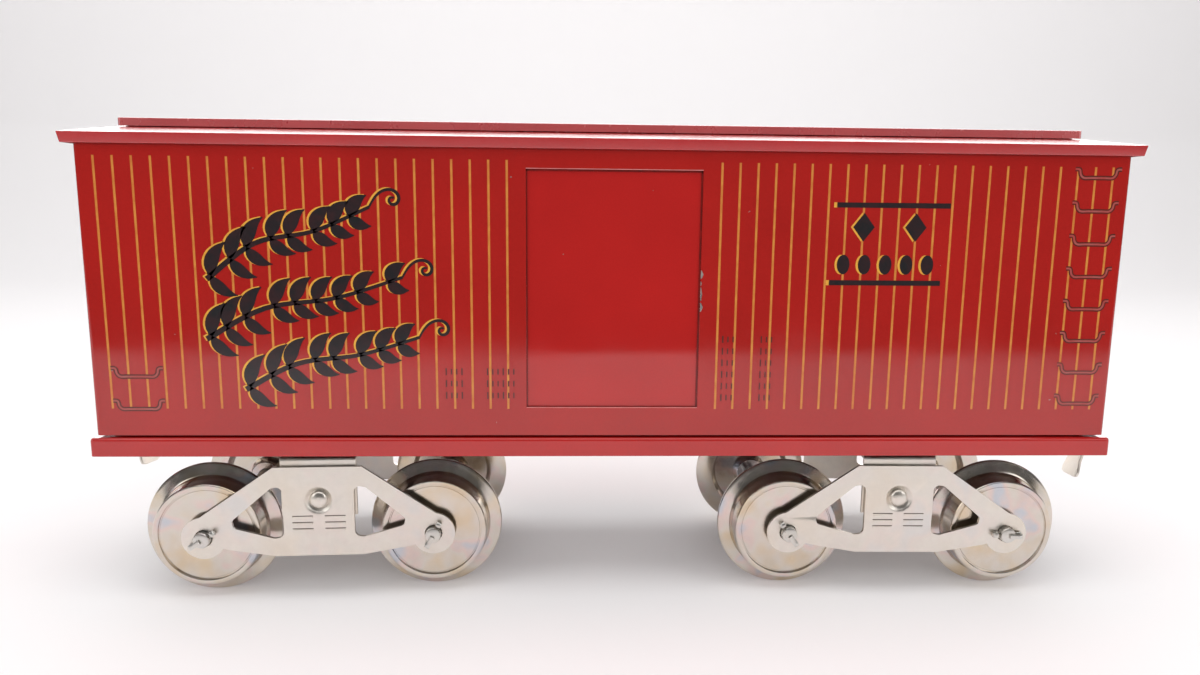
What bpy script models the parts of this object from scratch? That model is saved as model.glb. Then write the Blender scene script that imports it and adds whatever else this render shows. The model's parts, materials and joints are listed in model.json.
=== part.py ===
"""Toy box car in lithographed tin, Standard gauge, twelve inches over the body.

Frame: metres, +X along the car, +Z up. The origin is on the track surface under the
middle of the car. The second end of the car is the first end turned half round, except
that the trucks stand a degree or two off straight and one coupler stands swung aside.
"""
import math

import bmesh
import bpy
from mathutils import Matrix, Vector

MM = 0.001
GAP = 0.3 * MM

# ---- wheels and trucks --------------------------------------------------------------
FLANGE_RADIUS = 20.45 * MM
RIM_RADIUS = 15.85 * MM
TREAD_RADIUS = 16.6 * MM
WHEEL_BACK_Y = 24.9 * MM
FLANGE_FACE_Y = 26.3 * MM
WHEEL_FACE_Y = 33.4 * MM
WHEEL_SIDES = 32
PIN_SIDES = 12
AXLE_RADIUS = 2.4 * MM
AXLE_HALF_LENGTH = 38.4 * MM
AXLE_Z = FLANGE_RADIUS
HALF_WHEELBASE = 34.0 * MM
TRUCK_X = 89.9 * MM
# Degrees by which trucks A and B stand off straight.
TRUCK_YAW = (-1.2, 2.7)

FRAME_THICKNESS = 1.0 * MM
FRAME_INNER_Y = 35.1 * MM
FRAME_TOP_Z = 42.0 * MM
FRAME_BOTTOM_Z = 14.3 * MM
FRAME_HALF_TOP = 13.0 * MM
FRAME_EYE_RADIUS = 6.5 * MM
RIVET_Z = 31.7 * MM
DIMPLE_RADIUS = 4.2 * MM

BOLSTER_TOP_Z = 44.8 * MM
BOLSTER_THICKNESS = 1.0 * MM
BOLSTER_HALF_WIDTH = 11.2 * MM
BOLSTER_OUTER_Y = FRAME_INNER_Y - GAP
BOLSTER_FLANGE_BOTTOM_Z = 26.5 * MM
BOLSTER_BEND = 1.2 * MM

KINGPIN_RADIUS = 2.2 * MM
KINGPIN_HEAD_RADIUS = 3.2 * MM
COTTER_Y = 37.25 * MM
COTTER_SHANK = 0.5 * MM
COTTER_HOLE_RADIUS = 0.85 * MM
COTTER_LEG = 0.5 * MM
COTTER_HALF_WIDTH = 0.8 * MM
COTTER_EYE_RADIUS = 1.05 * MM
# Each cotter stands at the angle at which its axle stopped: A1, A2, B1, B2 in their trucks.
COTTER_ANGLES = (180.0, 125.0, 148.0, 118.0)

# ---- couplers -----------------------------------------------------------------------
COUPLER_PIVOT_OUT = 7.5 * MM
COUPLER_THICKNESS = 1.0 * MM
COUPLER_TOP_Z = BOLSTER_TOP_Z - BOLSTER_THICKNESS - GAP
COUPLER_REACH = 168.9 * MM
COUPLER_TIP_Z = 27.3 * MM
COUPLER_HALF_WIDTH = 3.5 * MM
COUPLER_HEAD_HALF = 7.0 * MM
COUPLER_BEND = 3.0 * MM
COUPLER_LEAN = 14.0
COUPLER_SLOT_BACK = 8.5 * MM
COUPLER_SLOT_HALF = (1.4 * MM, 4.6 * MM)
COUPLER_RIVET_RADIUS = 1.3 * MM
COUPLER_REST_SWING = (-1.2, 16.7)

# ---- body ---------------------------------------------------------------------------
SHEET = 0.5 * MM
BODY_HALF_LENGTH = 152.5 * MM
BODY_HALF_WIDTH = 35.0 * MM
BODY_BOTTOM_Z = 51.5 * MM
BODY_TOP_Z = 138.0 * MM
CORNER_RADIUS = 1.4 * MM
SIDE_RETURN = 8.0 * MM

DOOR_HALF_OPENING = 25.65 * MM
DOOR_OPENING_BOTTOM_Z = 60.3 * MM
DOOR_OPENING_TOP_Z = 130.3 * MM
DOOR_HALF_WIDTH = 30.0 * MM
DOOR_BOTTOM_Z = 57.4 * MM
DOOR_TOP_Z = 133.2 * MM
DOOR_OUTER_Y = BODY_HALF_WIDTH - SHEET - GAP
DOOR_TRAVEL = 52.0 * MM
GUIDE_LIP = 2.6 * MM

SILL_HALF_LENGTH = 154.15 * MM
SILL_HALF_WIDTH = 36.1 * MM
SILL_BOTTOM_Z = 45.3 * MM
SILL_TOP_Z = 50.9 * MM
SILL_SHEET = 0.6 * MM

ROOF_HALF_LENGTH = 155.4 * MM
ROOF_HALF_WIDTH = 37.0 * MM
ROOF_LIP_BOTTOM_Z = 136.0 * MM
ROOF_EAVE_Z = 139.0 * MM
ROOF_RIDGE_Z = 143.9 * MM
ROOF_LIP_SLANT = 0.35 * MM

WALK_HALF_LENGTH = 155.2 * MM
WALK_CORNER = 1.2 * MM
WALK_HALF_WIDTH = 5.0 * MM
WALK_TOP_Z = 146.4 * MM
WALK_CROWN = 0.35 * MM
WALK_SHEET = 0.6 * MM

COLOURS = {
    "red_enamel": ((0.40, 0.012, 0.016), 0.0, 0.14),
    "roof_enamel": ((0.40, 0.012, 0.016), 0.0, 0.16),
    "nickel_plate": ((0.70, 0.66, 0.59), 1.0, 0.33),
    "wheel_nickel": ((0.66, 0.63, 0.60), 1.0, 0.27),
    "zinc_steel": ((0.50, 0.49, 0.47), 1.0, 0.42),
}


# ---- materials and objects ----------------------------------------------------------
def material(name):
    """The finish called name, made at its first use."""
    found = bpy.data.materials.get(name)
    if found:
        return found
    colour, metallic, roughness = COLOURS[name]
    made = bpy.data.materials.new(name)
    made.use_nodes = True
    shader = made.node_tree.nodes["Principled BSDF"]
    shader.inputs["Base Color"].default_value = (*colour, 1.0)
    shader.inputs["Metallic"].default_value = metallic
    shader.inputs["Roughness"].default_value = roughness
    return made


def own_material(name, finish):
    """A copy of a finish for one sub-part."""
    copy = material(finish).copy()
    copy.name = f"{name}_{finish}"
    return copy


def link(name, mesh, finish, matrix=None, parent=None, smooth=True):
    """Put a mesh into the scene as the sub-part called name."""
    body = bpy.data.objects.new(name, mesh)
    bpy.context.scene.collection.objects.link(body)
    mesh.materials.clear()
    mesh.materials.append(own_material(name, finish))
    if smooth:
        mesh.shade_smooth()
        mesh.set_sharp_from_angle(angle=math.radians(35.0))
    if parent:
        body.parent = parent
    if matrix is not None:
        body.matrix_local = matrix
    return body


def empty(name, location, yaw=0.0, parent=None):
    """An axis that a moving group hangs on."""
    axis = bpy.data.objects.new(name, None)
    bpy.context.scene.collection.objects.link(axis)
    if parent:
        axis.parent = parent
    axis.location = location
    axis.rotation_euler = (0.0, 0.0, yaw)
    return axis


# ---- mesh tools ---------------------------------------------------------------------
def finished(bm, name):
    """Close a bmesh into a mesh with its faces pointing out."""
    bmesh.ops.recalc_face_normals(bm, faces=bm.faces)
    mesh = bpy.data.meshes.new(name)
    bm.to_mesh(mesh)
    bm.free()
    return mesh


def prism(name, outline, low, high, axis="Z"):
    """Extrude a flat outline from low to high along Z, or along Y for an (x, z) outline."""
    bm = bmesh.new()
    rings = []
    for level in (low, high):
        if axis == "Z":
            points = [(a, b, level) for a, b in outline]
        elif axis == "Y":
            points = [(a, level, b) for a, b in outline]
        else:
            points = [(level, a, b) for a, b in outline]
        rings.append([bm.verts.new(point) for point in points])
    bm.faces.new(rings[0])
    bm.faces.new(rings[1])
    count = len(outline)
    for i in range(count):
        j = (i + 1) % count
        bm.faces.new((rings[0][i], rings[0][j], rings[1][j], rings[1][i]))
    return finished(bm, name)


def box(name, low, high):
    """A block between two corners."""
    outline = [(low[0], low[1]), (high[0], low[1]), (high[0], high[1]), (low[0], high[1])]
    return prism(name, outline, low[2], high[2])


def turned(name, profile, sides, axis="Y", closed=True):
    """Turn (radius, height) points round an axis; an open profile ends on the axis."""
    bm = bmesh.new()
    rings = []
    for radius, height in profile:
        if radius <= 0.0:
            rings.append([bm.verts.new((0.0, 0.0, height))])
            continue
        ring = []
        for k in range(sides):
            angle = math.tau * k / sides
            ring.append(bm.verts.new((radius * math.cos(angle), radius * math.sin(angle), height)))
        rings.append(ring)
    pairs = list(zip(rings, rings[1:]))
    if closed:
        pairs.append((rings[-1], rings[0]))
    for first, second in pairs:
        for k in range(sides):
            j = (k + 1) % sides
            if len(first) == 1:
                bm.faces.new((first[0], second[k], second[j]))
            elif len(second) == 1:
                bm.faces.new((first[k], first[j], second[0]))
            else:
                bm.faces.new((first[k], first[j], second[j], second[k]))
    if axis == "Y":
        # Height runs along +Y. A side count that is a multiple of four puts a corner straight down.
        bmesh.ops.rotate(bm, verts=bm.verts, cent=(0, 0, 0), matrix=Matrix.Rotation(-math.pi / 2, 3, "X"))
    return finished(bm, name)


def moved(mesh, offset):
    """Shift a mesh."""
    mesh.transform(Matrix.Translation(Vector(offset)))
    return mesh


def split(mesh, cuts):
    """Score a mesh's faces along planes, each an (axis number, distance), so flat parts stay apart."""
    bm = bmesh.new()
    bm.from_mesh(mesh)
    for number, distance in cuts:
        normal = Vector((0.0, 0.0, 0.0))
        normal[number] = 1.0
        everything = bm.verts[:] + bm.edges[:] + bm.faces[:]
        bmesh.ops.bisect_plane(bm, geom=everything, dist=0.000001, plane_co=normal * distance, plane_no=normal)
    bmesh.ops.triangulate(bm, faces=[face for face in bm.faces if len(face.verts) > 4])
    return finished(bm, mesh.name)


def combined(base, others, operation="DIFFERENCE"):
    """Cut meshes from, or unite them with, a base mesh by exact Booleans."""
    work = bpy.data.objects.new("work", base)
    bpy.context.scene.collection.objects.link(work)
    helpers = [work]
    for other in others:
        helper = bpy.data.objects.new("cutter", other)
        bpy.context.scene.collection.objects.link(helper)
        helpers.append(helper)
        step = work.modifiers.new("boolean", "BOOLEAN")
        step.operation = operation
        step.solver = "EXACT"
        step.object = helper
    bpy.context.view_layer.update()
    graph = bpy.context.evaluated_depsgraph_get()
    result = bpy.data.meshes.new_from_object(work.evaluated_get(graph))
    for helper in helpers:
        bpy.data.objects.remove(helper)
    bm = bmesh.new()
    bm.from_mesh(result)
    bmesh.ops.remove_doubles(bm, verts=bm.verts, dist=0.000002)
    bmesh.ops.dissolve_limit(bm, angle_limit=0.0005, verts=bm.verts, edges=bm.edges)
    bmesh.ops.triangulate(bm, faces=[face for face in bm.faces if len(face.verts) > 4])
    return finished(bm, result.name)


def arc(centre, radius, start, end, steps):
    """Points of an arc, with angles in degrees."""
    points = []
    for k in range(steps + 1):
        angle = math.radians(start + (end - start) * k / steps)
        points.append((centre[0] + radius * math.cos(angle), centre[1] + radius * math.sin(angle)))
    return points


def rounded(corners, radius, steps=4):
    """Round the corners of a closed outline with arcs."""
    points = []
    count = len(corners)
    for i in range(count):
        here = Vector(corners[i])
        back = (Vector(corners[i - 1]) - here).normalized()
        ahead = (Vector(corners[(i + 1) % count]) - here).normalized()
        half = math.acos(max(-1.0, min(1.0, back.dot(ahead)))) / 2.0
        run = radius / math.tan(half)
        centre = here + (back + ahead).normalized() * (radius / math.sin(half))
        first = here + back * run - centre
        last = here + ahead * run - centre
        for k in range(steps + 1):
            turn = first.lerp(last, k / steps).normalized() * radius
            points.append(tuple(centre + turn))
    return points


def mirrored(outline):
    """The outline with x turned about, still in order."""
    return [(-a, b) for a, b in reversed(outline)]


# ---- wheels and axles ---------------------------------------------------------------
def wheel_mesh():
    """A nickelled disc wheel: flange inside, tapered tread, grooved face."""
    bore = AXLE_RADIUS + GAP
    groove = 14.2 * MM
    hub = 5.2 * MM
    profile = [
        (bore, WHEEL_BACK_Y - 1.6 * MM),
        (hub, WHEEL_BACK_Y - 1.6 * MM),
        (hub + 1.0 * MM, WHEEL_BACK_Y + 2.2 * MM),
        (13.2 * MM, WHEEL_BACK_Y + 2.2 * MM),
        (14.6 * MM, WHEEL_BACK_Y),
        (FLANGE_RADIUS, WHEEL_BACK_Y),
        (FLANGE_RADIUS, FLANGE_FACE_Y),
        (TREAD_RADIUS, FLANGE_FACE_Y + 1.1 * MM),
        (RIM_RADIUS, WHEEL_FACE_Y),
        (groove + 0.3 * MM, WHEEL_FACE_Y),
        (groove - 0.2 * MM, WHEEL_FACE_Y - 0.5 * MM),
        (bore, WHEEL_FACE_Y - 0.5 * MM),
    ]
    return turned("wheel", profile, WHEEL_SIDES)


def axle_mesh():
    """A straight axle with a cross hole for a cotter at each end."""
    tip = AXLE_HALF_LENGTH
    chamfer = 0.5 * MM
    profile = [
        (0.0, -tip),
        (AXLE_RADIUS - chamfer, -tip),
        (AXLE_RADIUS, -tip + chamfer),
        (AXLE_RADIUS, tip - chamfer),
        (AXLE_RADIUS - chamfer, tip),
        (0.0, tip),
    ]
    rod = turned("axle", profile, 16, closed=False)
    holes = []
    for side in (-1, 1):
        hole = turned("hole", [(0.0, -6 * MM), (COTTER_HOLE_RADIUS, -6 * MM),
                               (COTTER_HOLE_RADIUS, 6 * MM), (0.0, 6 * MM)], 8, axis="Z", closed=False)
        hole.transform(Matrix.Rotation(math.pi / 2, 4, "Y"))
        holes.append(moved(hole, (0.0, side * COTTER_Y, 0.0)))
    return combined(rod, holes)


def cotter_mesh():
    """A split pin lying along X in the axle's +Y end: eye, shank, and one leg folded over the end.

    The cotter's origin is where its shank crosses the axle's line, and +Y is outward.
    """
    wide = COTTER_HALF_WIDTH
    leg = COTTER_LEG
    eye_x = AXLE_RADIUS + COTTER_EYE_RADIUS + 0.1 * MM
    fold_x = -AXLE_RADIUS - 0.75 * MM
    over = AXLE_HALF_LENGTH - COTTER_Y + 0.15 * MM
    shank = box("shank", (fold_x, -COTTER_SHANK, -COTTER_SHANK), (eye_x - 0.8 * MM, COTTER_SHANK, COTTER_SHANK))
    eye = prism("eye", arc((eye_x, 0.0), COTTER_EYE_RADIUS, 0.0, 340.0, 17), -wide, wide)
    short_leg = [(fold_x + 0.1 * MM, -COTTER_SHANK), (fold_x - 1.5 * MM, -COTTER_SHANK - 0.25 * MM),
                 (fold_x - 1.5 * MM, leg - COTTER_SHANK - 0.25 * MM), (fold_x + 0.1 * MM, leg - COTTER_SHANK)]
    long_leg = [(fold_x + 0.1 * MM, COTTER_SHANK - leg), (fold_x - 0.5 * MM, COTTER_SHANK - leg),
                (fold_x - 1.0 * MM, COTTER_SHANK), (fold_x - 1.0 * MM, over), (fold_x - 0.5 * MM, over + leg),
                (-0.3 * MM, over + leg * 0.8), (-0.3 * MM, over), (fold_x, over),
                (fold_x - 0.3 * MM, over - 0.3 * MM), (fold_x - 0.3 * MM, COTTER_SHANK + 0.15 * MM),
                (fold_x + 0.1 * MM, COTTER_SHANK)]
    pieces = [eye, prism("short leg", short_leg, -wide, wide), prism("long leg", long_leg, -wide, wide)]
    solid = combined(shank, pieces, "UNION")
    window = prism("window", arc((eye_x, 0.0), COTTER_EYE_RADIUS * 0.45, 0.0, 330.0, 11), -1.0, 1.0)
    return combined(solid, [window])


# ---- truck pieces -------------------------------------------------------------------
def side_frame_mesh(side):
    """The pressed side frame: plate, two sloping arms with round eyes, two windows."""
    low = FRAME_INNER_Y
    high = FRAME_INNER_Y + FRAME_THICKNESS
    if side < 0:
        low, high = -high, -low
    notch = (26.6 * MM, 16.6 * MM)
    shoulder = (HALF_WHEELBASE + 1.2 * MM, AXLE_Z + 6.2 * MM)
    plate = [
        (-notch[0], notch[1]),
        (-FRAME_HALF_TOP, FRAME_BOTTOM_Z),
        (FRAME_HALF_TOP, FRAME_BOTTOM_Z),
        notch,
        (HALF_WHEELBASE, AXLE_Z - 2.0 * MM),
        shoulder,
        (FRAME_HALF_TOP, FRAME_TOP_Z),
        (-FRAME_HALF_TOP, FRAME_TOP_Z),
        (-shoulder[0], shoulder[1]),
        (-HALF_WHEELBASE, AXLE_Z - 2.0 * MM),
    ]
    eyes = []
    holes = []
    for turn in (-1, 1):
        centre = (turn * HALF_WHEELBASE, AXLE_Z)
        eyes.append(prism("eye", arc(centre, FRAME_EYE_RADIUS, 0, 345.0, 23), low, high, axis="Y"))
        bore = arc(centre, AXLE_RADIUS + GAP, 0, 337.5, 15)
        holes.append(prism("bore", bore, -1.0, 1.0, axis="Y"))
    window = rounded([(10.5 * MM, 36.2 * MM), (10.5 * MM, 20.3 * MM), (13.4 * MM, 19.9 * MM),
                      (27.5 * MM, 24.0 * MM), (13.9 * MM, 35.6 * MM)], 1.7 * MM, 3)
    for outline in (window, mirrored(window)):
        holes.append(prism("window", outline, -1.0, 1.0, axis="Y"))
    holes.append(prism("dimple", arc((0.0, RIVET_Z), DIMPLE_RADIUS, 0, 337.5, 15), -1.0, 1.0, axis="Y"))
    solid = combined(prism("plate", plate, low, high, axis="Y"), eyes, "UNION")
    return combined(solid, holes)


def frame_rivet_mesh(side):
    """The dished rivet that holds a side frame on the bolster's turned-down end."""
    dish = FRAME_INNER_Y + 0.1 * MM
    back = BOLSTER_OUTER_Y - BOLSTER_THICKNESS - GAP
    profile = [
        (0.0, back - 0.9 * MM),
        (2.3 * MM, back - 0.9 * MM),
        (2.6 * MM, back),
        (1.5 * MM, back),
        (1.5 * MM, dish),
        (DIMPLE_RADIUS - GAP, dish),
        (DIMPLE_RADIUS - GAP, dish + 0.7 * MM),
        (2.7 * MM, dish + 0.35 * MM),
        (2.1 * MM, dish + 0.95 * MM),
        (1.0 * MM, dish + 1.3 * MM),
        (0.0, dish + 1.4 * MM),
    ]
    mesh = moved(turned("rivet", profile, 16, closed=False), (0.0, 0.0, RIVET_Z))
    if side < 0:
        mesh.transform(Matrix.Rotation(math.pi, 4, "Z"))
    return mesh


def bolster_mesh():
    """A strip across the truck with both ends turned down behind the side frames."""
    outer = BOLSTER_OUTER_Y
    bend = BOLSTER_BEND
    inner_bend = bend - BOLSTER_THICKNESS
    centre = (outer - bend, BOLSTER_TOP_Z - bend)
    outside = [(outer, BOLSTER_FLANGE_BOTTOM_Z)] + arc(centre, bend, 0, 90, 4)
    inside = arc(centre, inner_bend, 90, 0, 4) + [(outer - BOLSTER_THICKNESS, BOLSTER_FLANGE_BOTTOM_Z)]
    section = outside + mirrored(outside) + mirrored(inside) + inside
    strip = prism("bolster", section, -BOLSTER_HALF_WIDTH, BOLSTER_HALF_WIDTH, axis="X")
    holes = []
    for x, radius in ((0.0, KINGPIN_RADIUS + GAP), (COUPLER_PIVOT_OUT, COUPLER_RIVET_RADIUS + GAP)):
        holes.append(prism("hole", arc((x, 0.0), radius, 0, 330.0, 11), 30 * MM, 60 * MM))
    rivet_hole = prism("hole", arc((0.0, RIVET_Z), 1.5 * MM + GAP, 0, 330.0, 11), -1.0, 1.0, axis="Y")
    return combined(strip, holes + [rivet_hole])


def coupler_mesh():
    """A flat arm from the pivot, a slotted head, and a tongue bent down at its end.

    The pivot is at the mesh's origin and the arm runs along +X.
    """
    reach = COUPLER_REACH - TRUCK_X - COUPLER_PIVOT_OUT
    low = COUPLER_TOP_Z - COUPLER_THICKNESS
    half = COUPLER_HALF_WIDTH
    head = COUPLER_HEAD_HALF
    flat_end = reach - COUPLER_BEND
    head_end = flat_end - 3.5 * MM
    head_start = reach - 13.0 * MM
    neck = head_start - 4.0 * MM
    arm = arc((0.0, 0.0), 3.1 * MM, 98, 262, 8)
    arm += [(neck, -half), (head_start, -head), (head_end, -head), (flat_end, -half),
            (flat_end, half), (head_end, head), (head_start, head), (neck, half)]
    bm = bmesh.new()
    bm.from_mesh(prism("arm", arm, low, COUPLER_TOP_Z))

    def away_from_end(face):
        middle = face.calc_center_median()
        return abs(middle.x - flat_end) + abs(middle.y) + (0.0 if abs(face.normal.x) > 0.9 else 1.0)

    end_face = min(bm.faces, key=away_from_end)
    corners = sorted(end_face.verts, key=lambda v: (v.co.z, v.co.y))
    bm.faces.remove(end_face)
    previous = [corners[0], corners[1], corners[3], corners[2]]

    def sweep_on(previous, outer, inner, width):
        """Carry the strip on to its next section and give that section's corners."""
        places = [(inner[0], -width, inner[1]), (inner[0], width, inner[1]),
                  (outer[0], width, outer[1]), (outer[0], -width, outer[1])]
        current = [bm.verts.new(place) for place in places]
        for i in range(4):
            j = (i + 1) % 4
            bm.faces.new((previous[i], previous[j], current[j], current[i]))
        return current

    # The tongue goes over the bend, then down with a lean inward and a flared tip.
    lean = math.radians(COUPLER_LEAN)
    middle = (flat_end, COUPLER_TOP_Z - COUPLER_BEND)
    short = COUPLER_BEND - COUPLER_THICKNESS
    for k in range(1, 6):
        angle = math.pi / 2 - (math.pi / 2 + lean) * k / 5
        outer = (middle[0] + COUPLER_BEND * math.cos(angle), middle[1] + COUPLER_BEND * math.sin(angle))
        inner = (middle[0] + short * math.cos(angle), middle[1] + short * math.sin(angle))
        previous = sweep_on(previous, outer, inner, half)
    down = (outer[1] - COUPLER_TIP_Z) / math.cos(lean)
    for share, flare in ((0.55, 0.0), (0.85, 0.9 * MM), (0.96, 0.6 * MM), (1.0, -0.8 * MM)):
        step_x = -math.sin(lean) * down * share
        step_z = -math.cos(lean) * down * share
        previous = sweep_on(previous, (outer[0] + step_x, outer[1] + step_z),
                            (inner[0] + step_x, inner[1] + step_z), half + flare)
    bm.faces.new(previous)
    body = finished(bm, "coupler")
    slot_x = reach - COUPLER_SLOT_BACK
    wide, tall = COUPLER_SLOT_HALF
    slot = box("slot", (slot_x - wide, -tall, 0.0), (slot_x + wide, tall, 1.0))
    pivot = prism("pivot", arc((0.0, 0.0), COUPLER_RIVET_RADIUS + GAP, 0, 330.0, 11), 0.0, 1.0)
    return split(combined(body, [slot, pivot]), [(0, slot_x - wide - 0.6 * MM)])


def headed_pin(name, radius, head, low, high, head_low, head_high):
    """A rivet standing along Z: shank from low to high, a rounded head beyond each end."""
    profile = [
        (0.0, low - head_low),
        (head * 0.75, low - head_low),
        (head, low),
        (radius, low),
        (radius, high),
        (head, high),
        (head * 0.75, high + head_high),
        (0.0, high + head_high),
    ]
    return turned(name, profile, PIN_SIDES, axis="Z", closed=False)


# ---- body pieces --------------------------------------------------------------------
def side_sheet_mesh():
    """The near side: one sheet turned round both corners, with the door opening cut."""
    outer_x = BODY_HALF_LENGTH
    outer_y = -BODY_HALF_WIDTH
    centre = (outer_x - CORNER_RADIUS, outer_y + CORNER_RADIUS)
    outside = arc(centre, CORNER_RADIUS, -90, 0, 5) + [(outer_x, outer_y + SIDE_RETURN)]
    inside = [(outer_x - SHEET, outer_y + SIDE_RETURN)] + arc(centre, CORNER_RADIUS - SHEET, 0, -90, 5)
    outline = mirrored(outside) + outside + inside + mirrored(inside)
    sheet = prism("side", outline, BODY_BOTTOM_Z, BODY_TOP_Z)
    opening = box("opening", (-DOOR_HALF_OPENING, outer_y - 5 * MM, DOOR_OPENING_BOTTOM_Z),
                  (DOOR_HALF_OPENING, outer_y + 5 * MM, DOOR_OPENING_TOP_Z))
    return combined(sheet, [opening])


def end_panel_mesh():
    """The end at +X, a plain sheet held behind the sides' turned-in edges."""
    outer = BODY_HALF_LENGTH - SHEET - GAP
    half = BODY_HALF_WIDTH - SHEET - GAP
    flange = 4.0 * MM
    section = [(outer, BODY_TOP_Z), (outer, BODY_BOTTOM_Z), (outer - flange, BODY_BOTTOM_Z),
               (outer - flange, BODY_BOTTOM_Z + SHEET), (outer - SHEET, BODY_BOTTOM_Z + SHEET),
               (outer - SHEET, BODY_TOP_Z)]
    return prism("end", section, -half, half, axis="Y")


def floor_pan_mesh():
    """A tray turned upside down: the floor and the sill folded down all round it."""
    length, width = SILL_HALF_LENGTH, SILL_HALF_WIDTH
    fillet = 1.2 * MM
    bm = bmesh.new()
    bmesh.ops.create_cube(bm, size=1.0)
    for vert in bm.verts:
        vert.co.x *= 2 * length
        vert.co.y *= 2 * width
        vert.co.z = SILL_BOTTOM_Z if vert.co.z < 0 else SILL_TOP_Z
    upright = [e for e in bm.edges if abs(e.verts[0].co.z - e.verts[1].co.z) > 1 * MM]
    bmesh.ops.bevel(bm, geom=upright, offset=fillet, segments=3, affect="EDGES", profile=0.5)
    rim = [e for e in bm.edges if min(v.co.z for v in e.verts) > SILL_TOP_Z - 0.1 * MM]
    bmesh.ops.bevel(bm, geom=rim, offset=fillet * 0.8, segments=3, affect="EDGES", profile=0.5)
    tray = finished(bm, "floor")
    inner = rounded([(-length + SILL_SHEET, -width + SILL_SHEET), (length - SILL_SHEET, -width + SILL_SHEET),
                     (length - SILL_SHEET, width - SILL_SHEET), (-length + SILL_SHEET, width - SILL_SHEET)],
                    fillet, 3)
    hollow = prism("hollow", inner, SILL_BOTTOM_Z - 5 * MM, SILL_TOP_Z - SILL_SHEET)
    holes = [hollow]
    for x in (-TRUCK_X, TRUCK_X):
        holes.append(prism("hole", arc((x, 0.0), KINGPIN_RADIUS + GAP, 0, 330.0, 11), 30 * MM, 70 * MM))
    return combined(tray, holes)


def gable(length, width, low, eave, ridge, slant):
    """A closed low-gabled block whose foot is slant narrower than its eaves."""
    bm = bmesh.new()
    rings = []
    for x in (-length, length):
        foot = x - math.copysign(slant, x)
        points = [(foot, -width + slant, low), (x, -width, eave), (x, 0.0, ridge),
                  (x, width, eave), (foot, width - slant, low)]
        rings.append([bm.verts.new(point) for point in points])
    bm.faces.new(rings[0])
    bm.faces.new(rings[1])
    for i in range(5):
        j = (i + 1) % 5
        bm.faces.new((rings[0][i], rings[0][j], rings[1][j], rings[1][i]))
    bmesh.ops.triangulate(bm, faces=bm.faces)
    return finished(bm, "gable")


def roof_mesh():
    """The pitched roof sheet with its lip folded down over the body's top edge."""
    outer = gable(ROOF_HALF_LENGTH, ROOF_HALF_WIDTH, ROOF_LIP_BOTTOM_Z, ROOF_EAVE_Z, ROOF_RIDGE_Z,
                  ROOF_LIP_SLANT)
    inner = gable(ROOF_HALF_LENGTH - SHEET, ROOF_HALF_WIDTH - SHEET, ROOF_LIP_BOTTOM_Z - 0.2 * MM,
                  ROOF_EAVE_Z - SHEET, ROOF_RIDGE_Z - SHEET, ROOF_LIP_SLANT)
    return combined(outer, [inner])


def roofwalk_mesh():
    """The walk on the ridge: a crowned channel with closed ends."""
    slope = (ROOF_RIDGE_Z - ROOF_EAVE_Z) / ROOF_HALF_WIDTH
    foot_z = ROOF_RIDGE_Z - slope * WALK_HALF_WIDTH
    outline = rounded([(-WALK_HALF_LENGTH, -WALK_HALF_WIDTH), (WALK_HALF_LENGTH, -WALK_HALF_WIDTH),
                       (WALK_HALF_LENGTH, WALK_HALF_WIDTH), (-WALK_HALF_LENGTH, WALK_HALF_WIDTH)], WALK_CORNER, 3)
    block = prism("walk", outline, foot_z, WALK_TOP_Z + 1 * MM)
    trim_top = []
    for turn in (-1, 1):
        wide = WALK_HALF_WIDTH + 1 * MM
        section = [(0.0, WALK_TOP_Z), (turn * 2.2 * MM, WALK_TOP_Z - WALK_CROWN * 0.2),
                   (turn * wide, WALK_TOP_Z - WALK_CROWN * 1.4), (turn * wide, WALK_TOP_Z + 3 * MM),
                   (0.0, WALK_TOP_Z + 3 * MM)]
        trim_top.append(prism("trim", section, -0.2, 0.2, axis="X"))
    wide = WALK_HALF_WIDTH + 1 * MM
    seat = prism("seat", [(-wide, foot_z - 5 * MM), (wide, foot_z - 5 * MM),
                          (wide, ROOF_RIDGE_Z - slope * wide + GAP), (0.0, ROOF_RIDGE_Z + GAP),
                          (-wide, ROOF_RIDGE_Z - slope * wide + GAP)], -0.2, 0.2, axis="X")
    long_way = WALK_HALF_LENGTH - WALK_SHEET
    across = WALK_HALF_WIDTH - WALK_SHEET
    inner = rounded([(-long_way, -across), (long_way, -across), (long_way, across), (-long_way, across)],
                    WALK_CORNER - WALK_SHEET, 3)
    hollow = prism("hollow", inner, foot_z - 5 * MM, WALK_TOP_Z - WALK_CROWN - WALK_SHEET)
    return combined(block, trim_top + [hollow, seat])


def door_mesh():
    """The near door, a plain sheet behind the opening."""
    return box("door", (-DOOR_HALF_WIDTH, -DOOR_OUTER_Y, DOOR_BOTTOM_Z),
               (DOOR_HALF_WIDTH, -DOOR_OUTER_Y + SHEET, DOOR_TOP_Z))


def guide_mesh(top):
    """A hooked strip inside the near side that the door's edge slides in."""
    face = -DOOR_OUTER_Y
    behind = face + SHEET + GAP
    if top:
        edge = DOOR_TOP_Z + GAP
        section = [(face, edge), (behind, edge), (behind, edge - GUIDE_LIP), (behind + SHEET, edge - GUIDE_LIP),
                   (behind + SHEET, edge + SHEET), (face, edge + SHEET)]
    else:
        edge = DOOR_BOTTOM_Z - GAP
        section = [(face, edge), (face, edge - SHEET), (behind + SHEET, edge - SHEET),
                   (behind + SHEET, edge + GUIDE_LIP), (behind, edge + GUIDE_LIP), (behind, edge)]
    reach = DOOR_HALF_WIDTH + 3.0 * MM
    return prism("guide", section, -reach - DOOR_TRAVEL, reach, axis="X")


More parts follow.
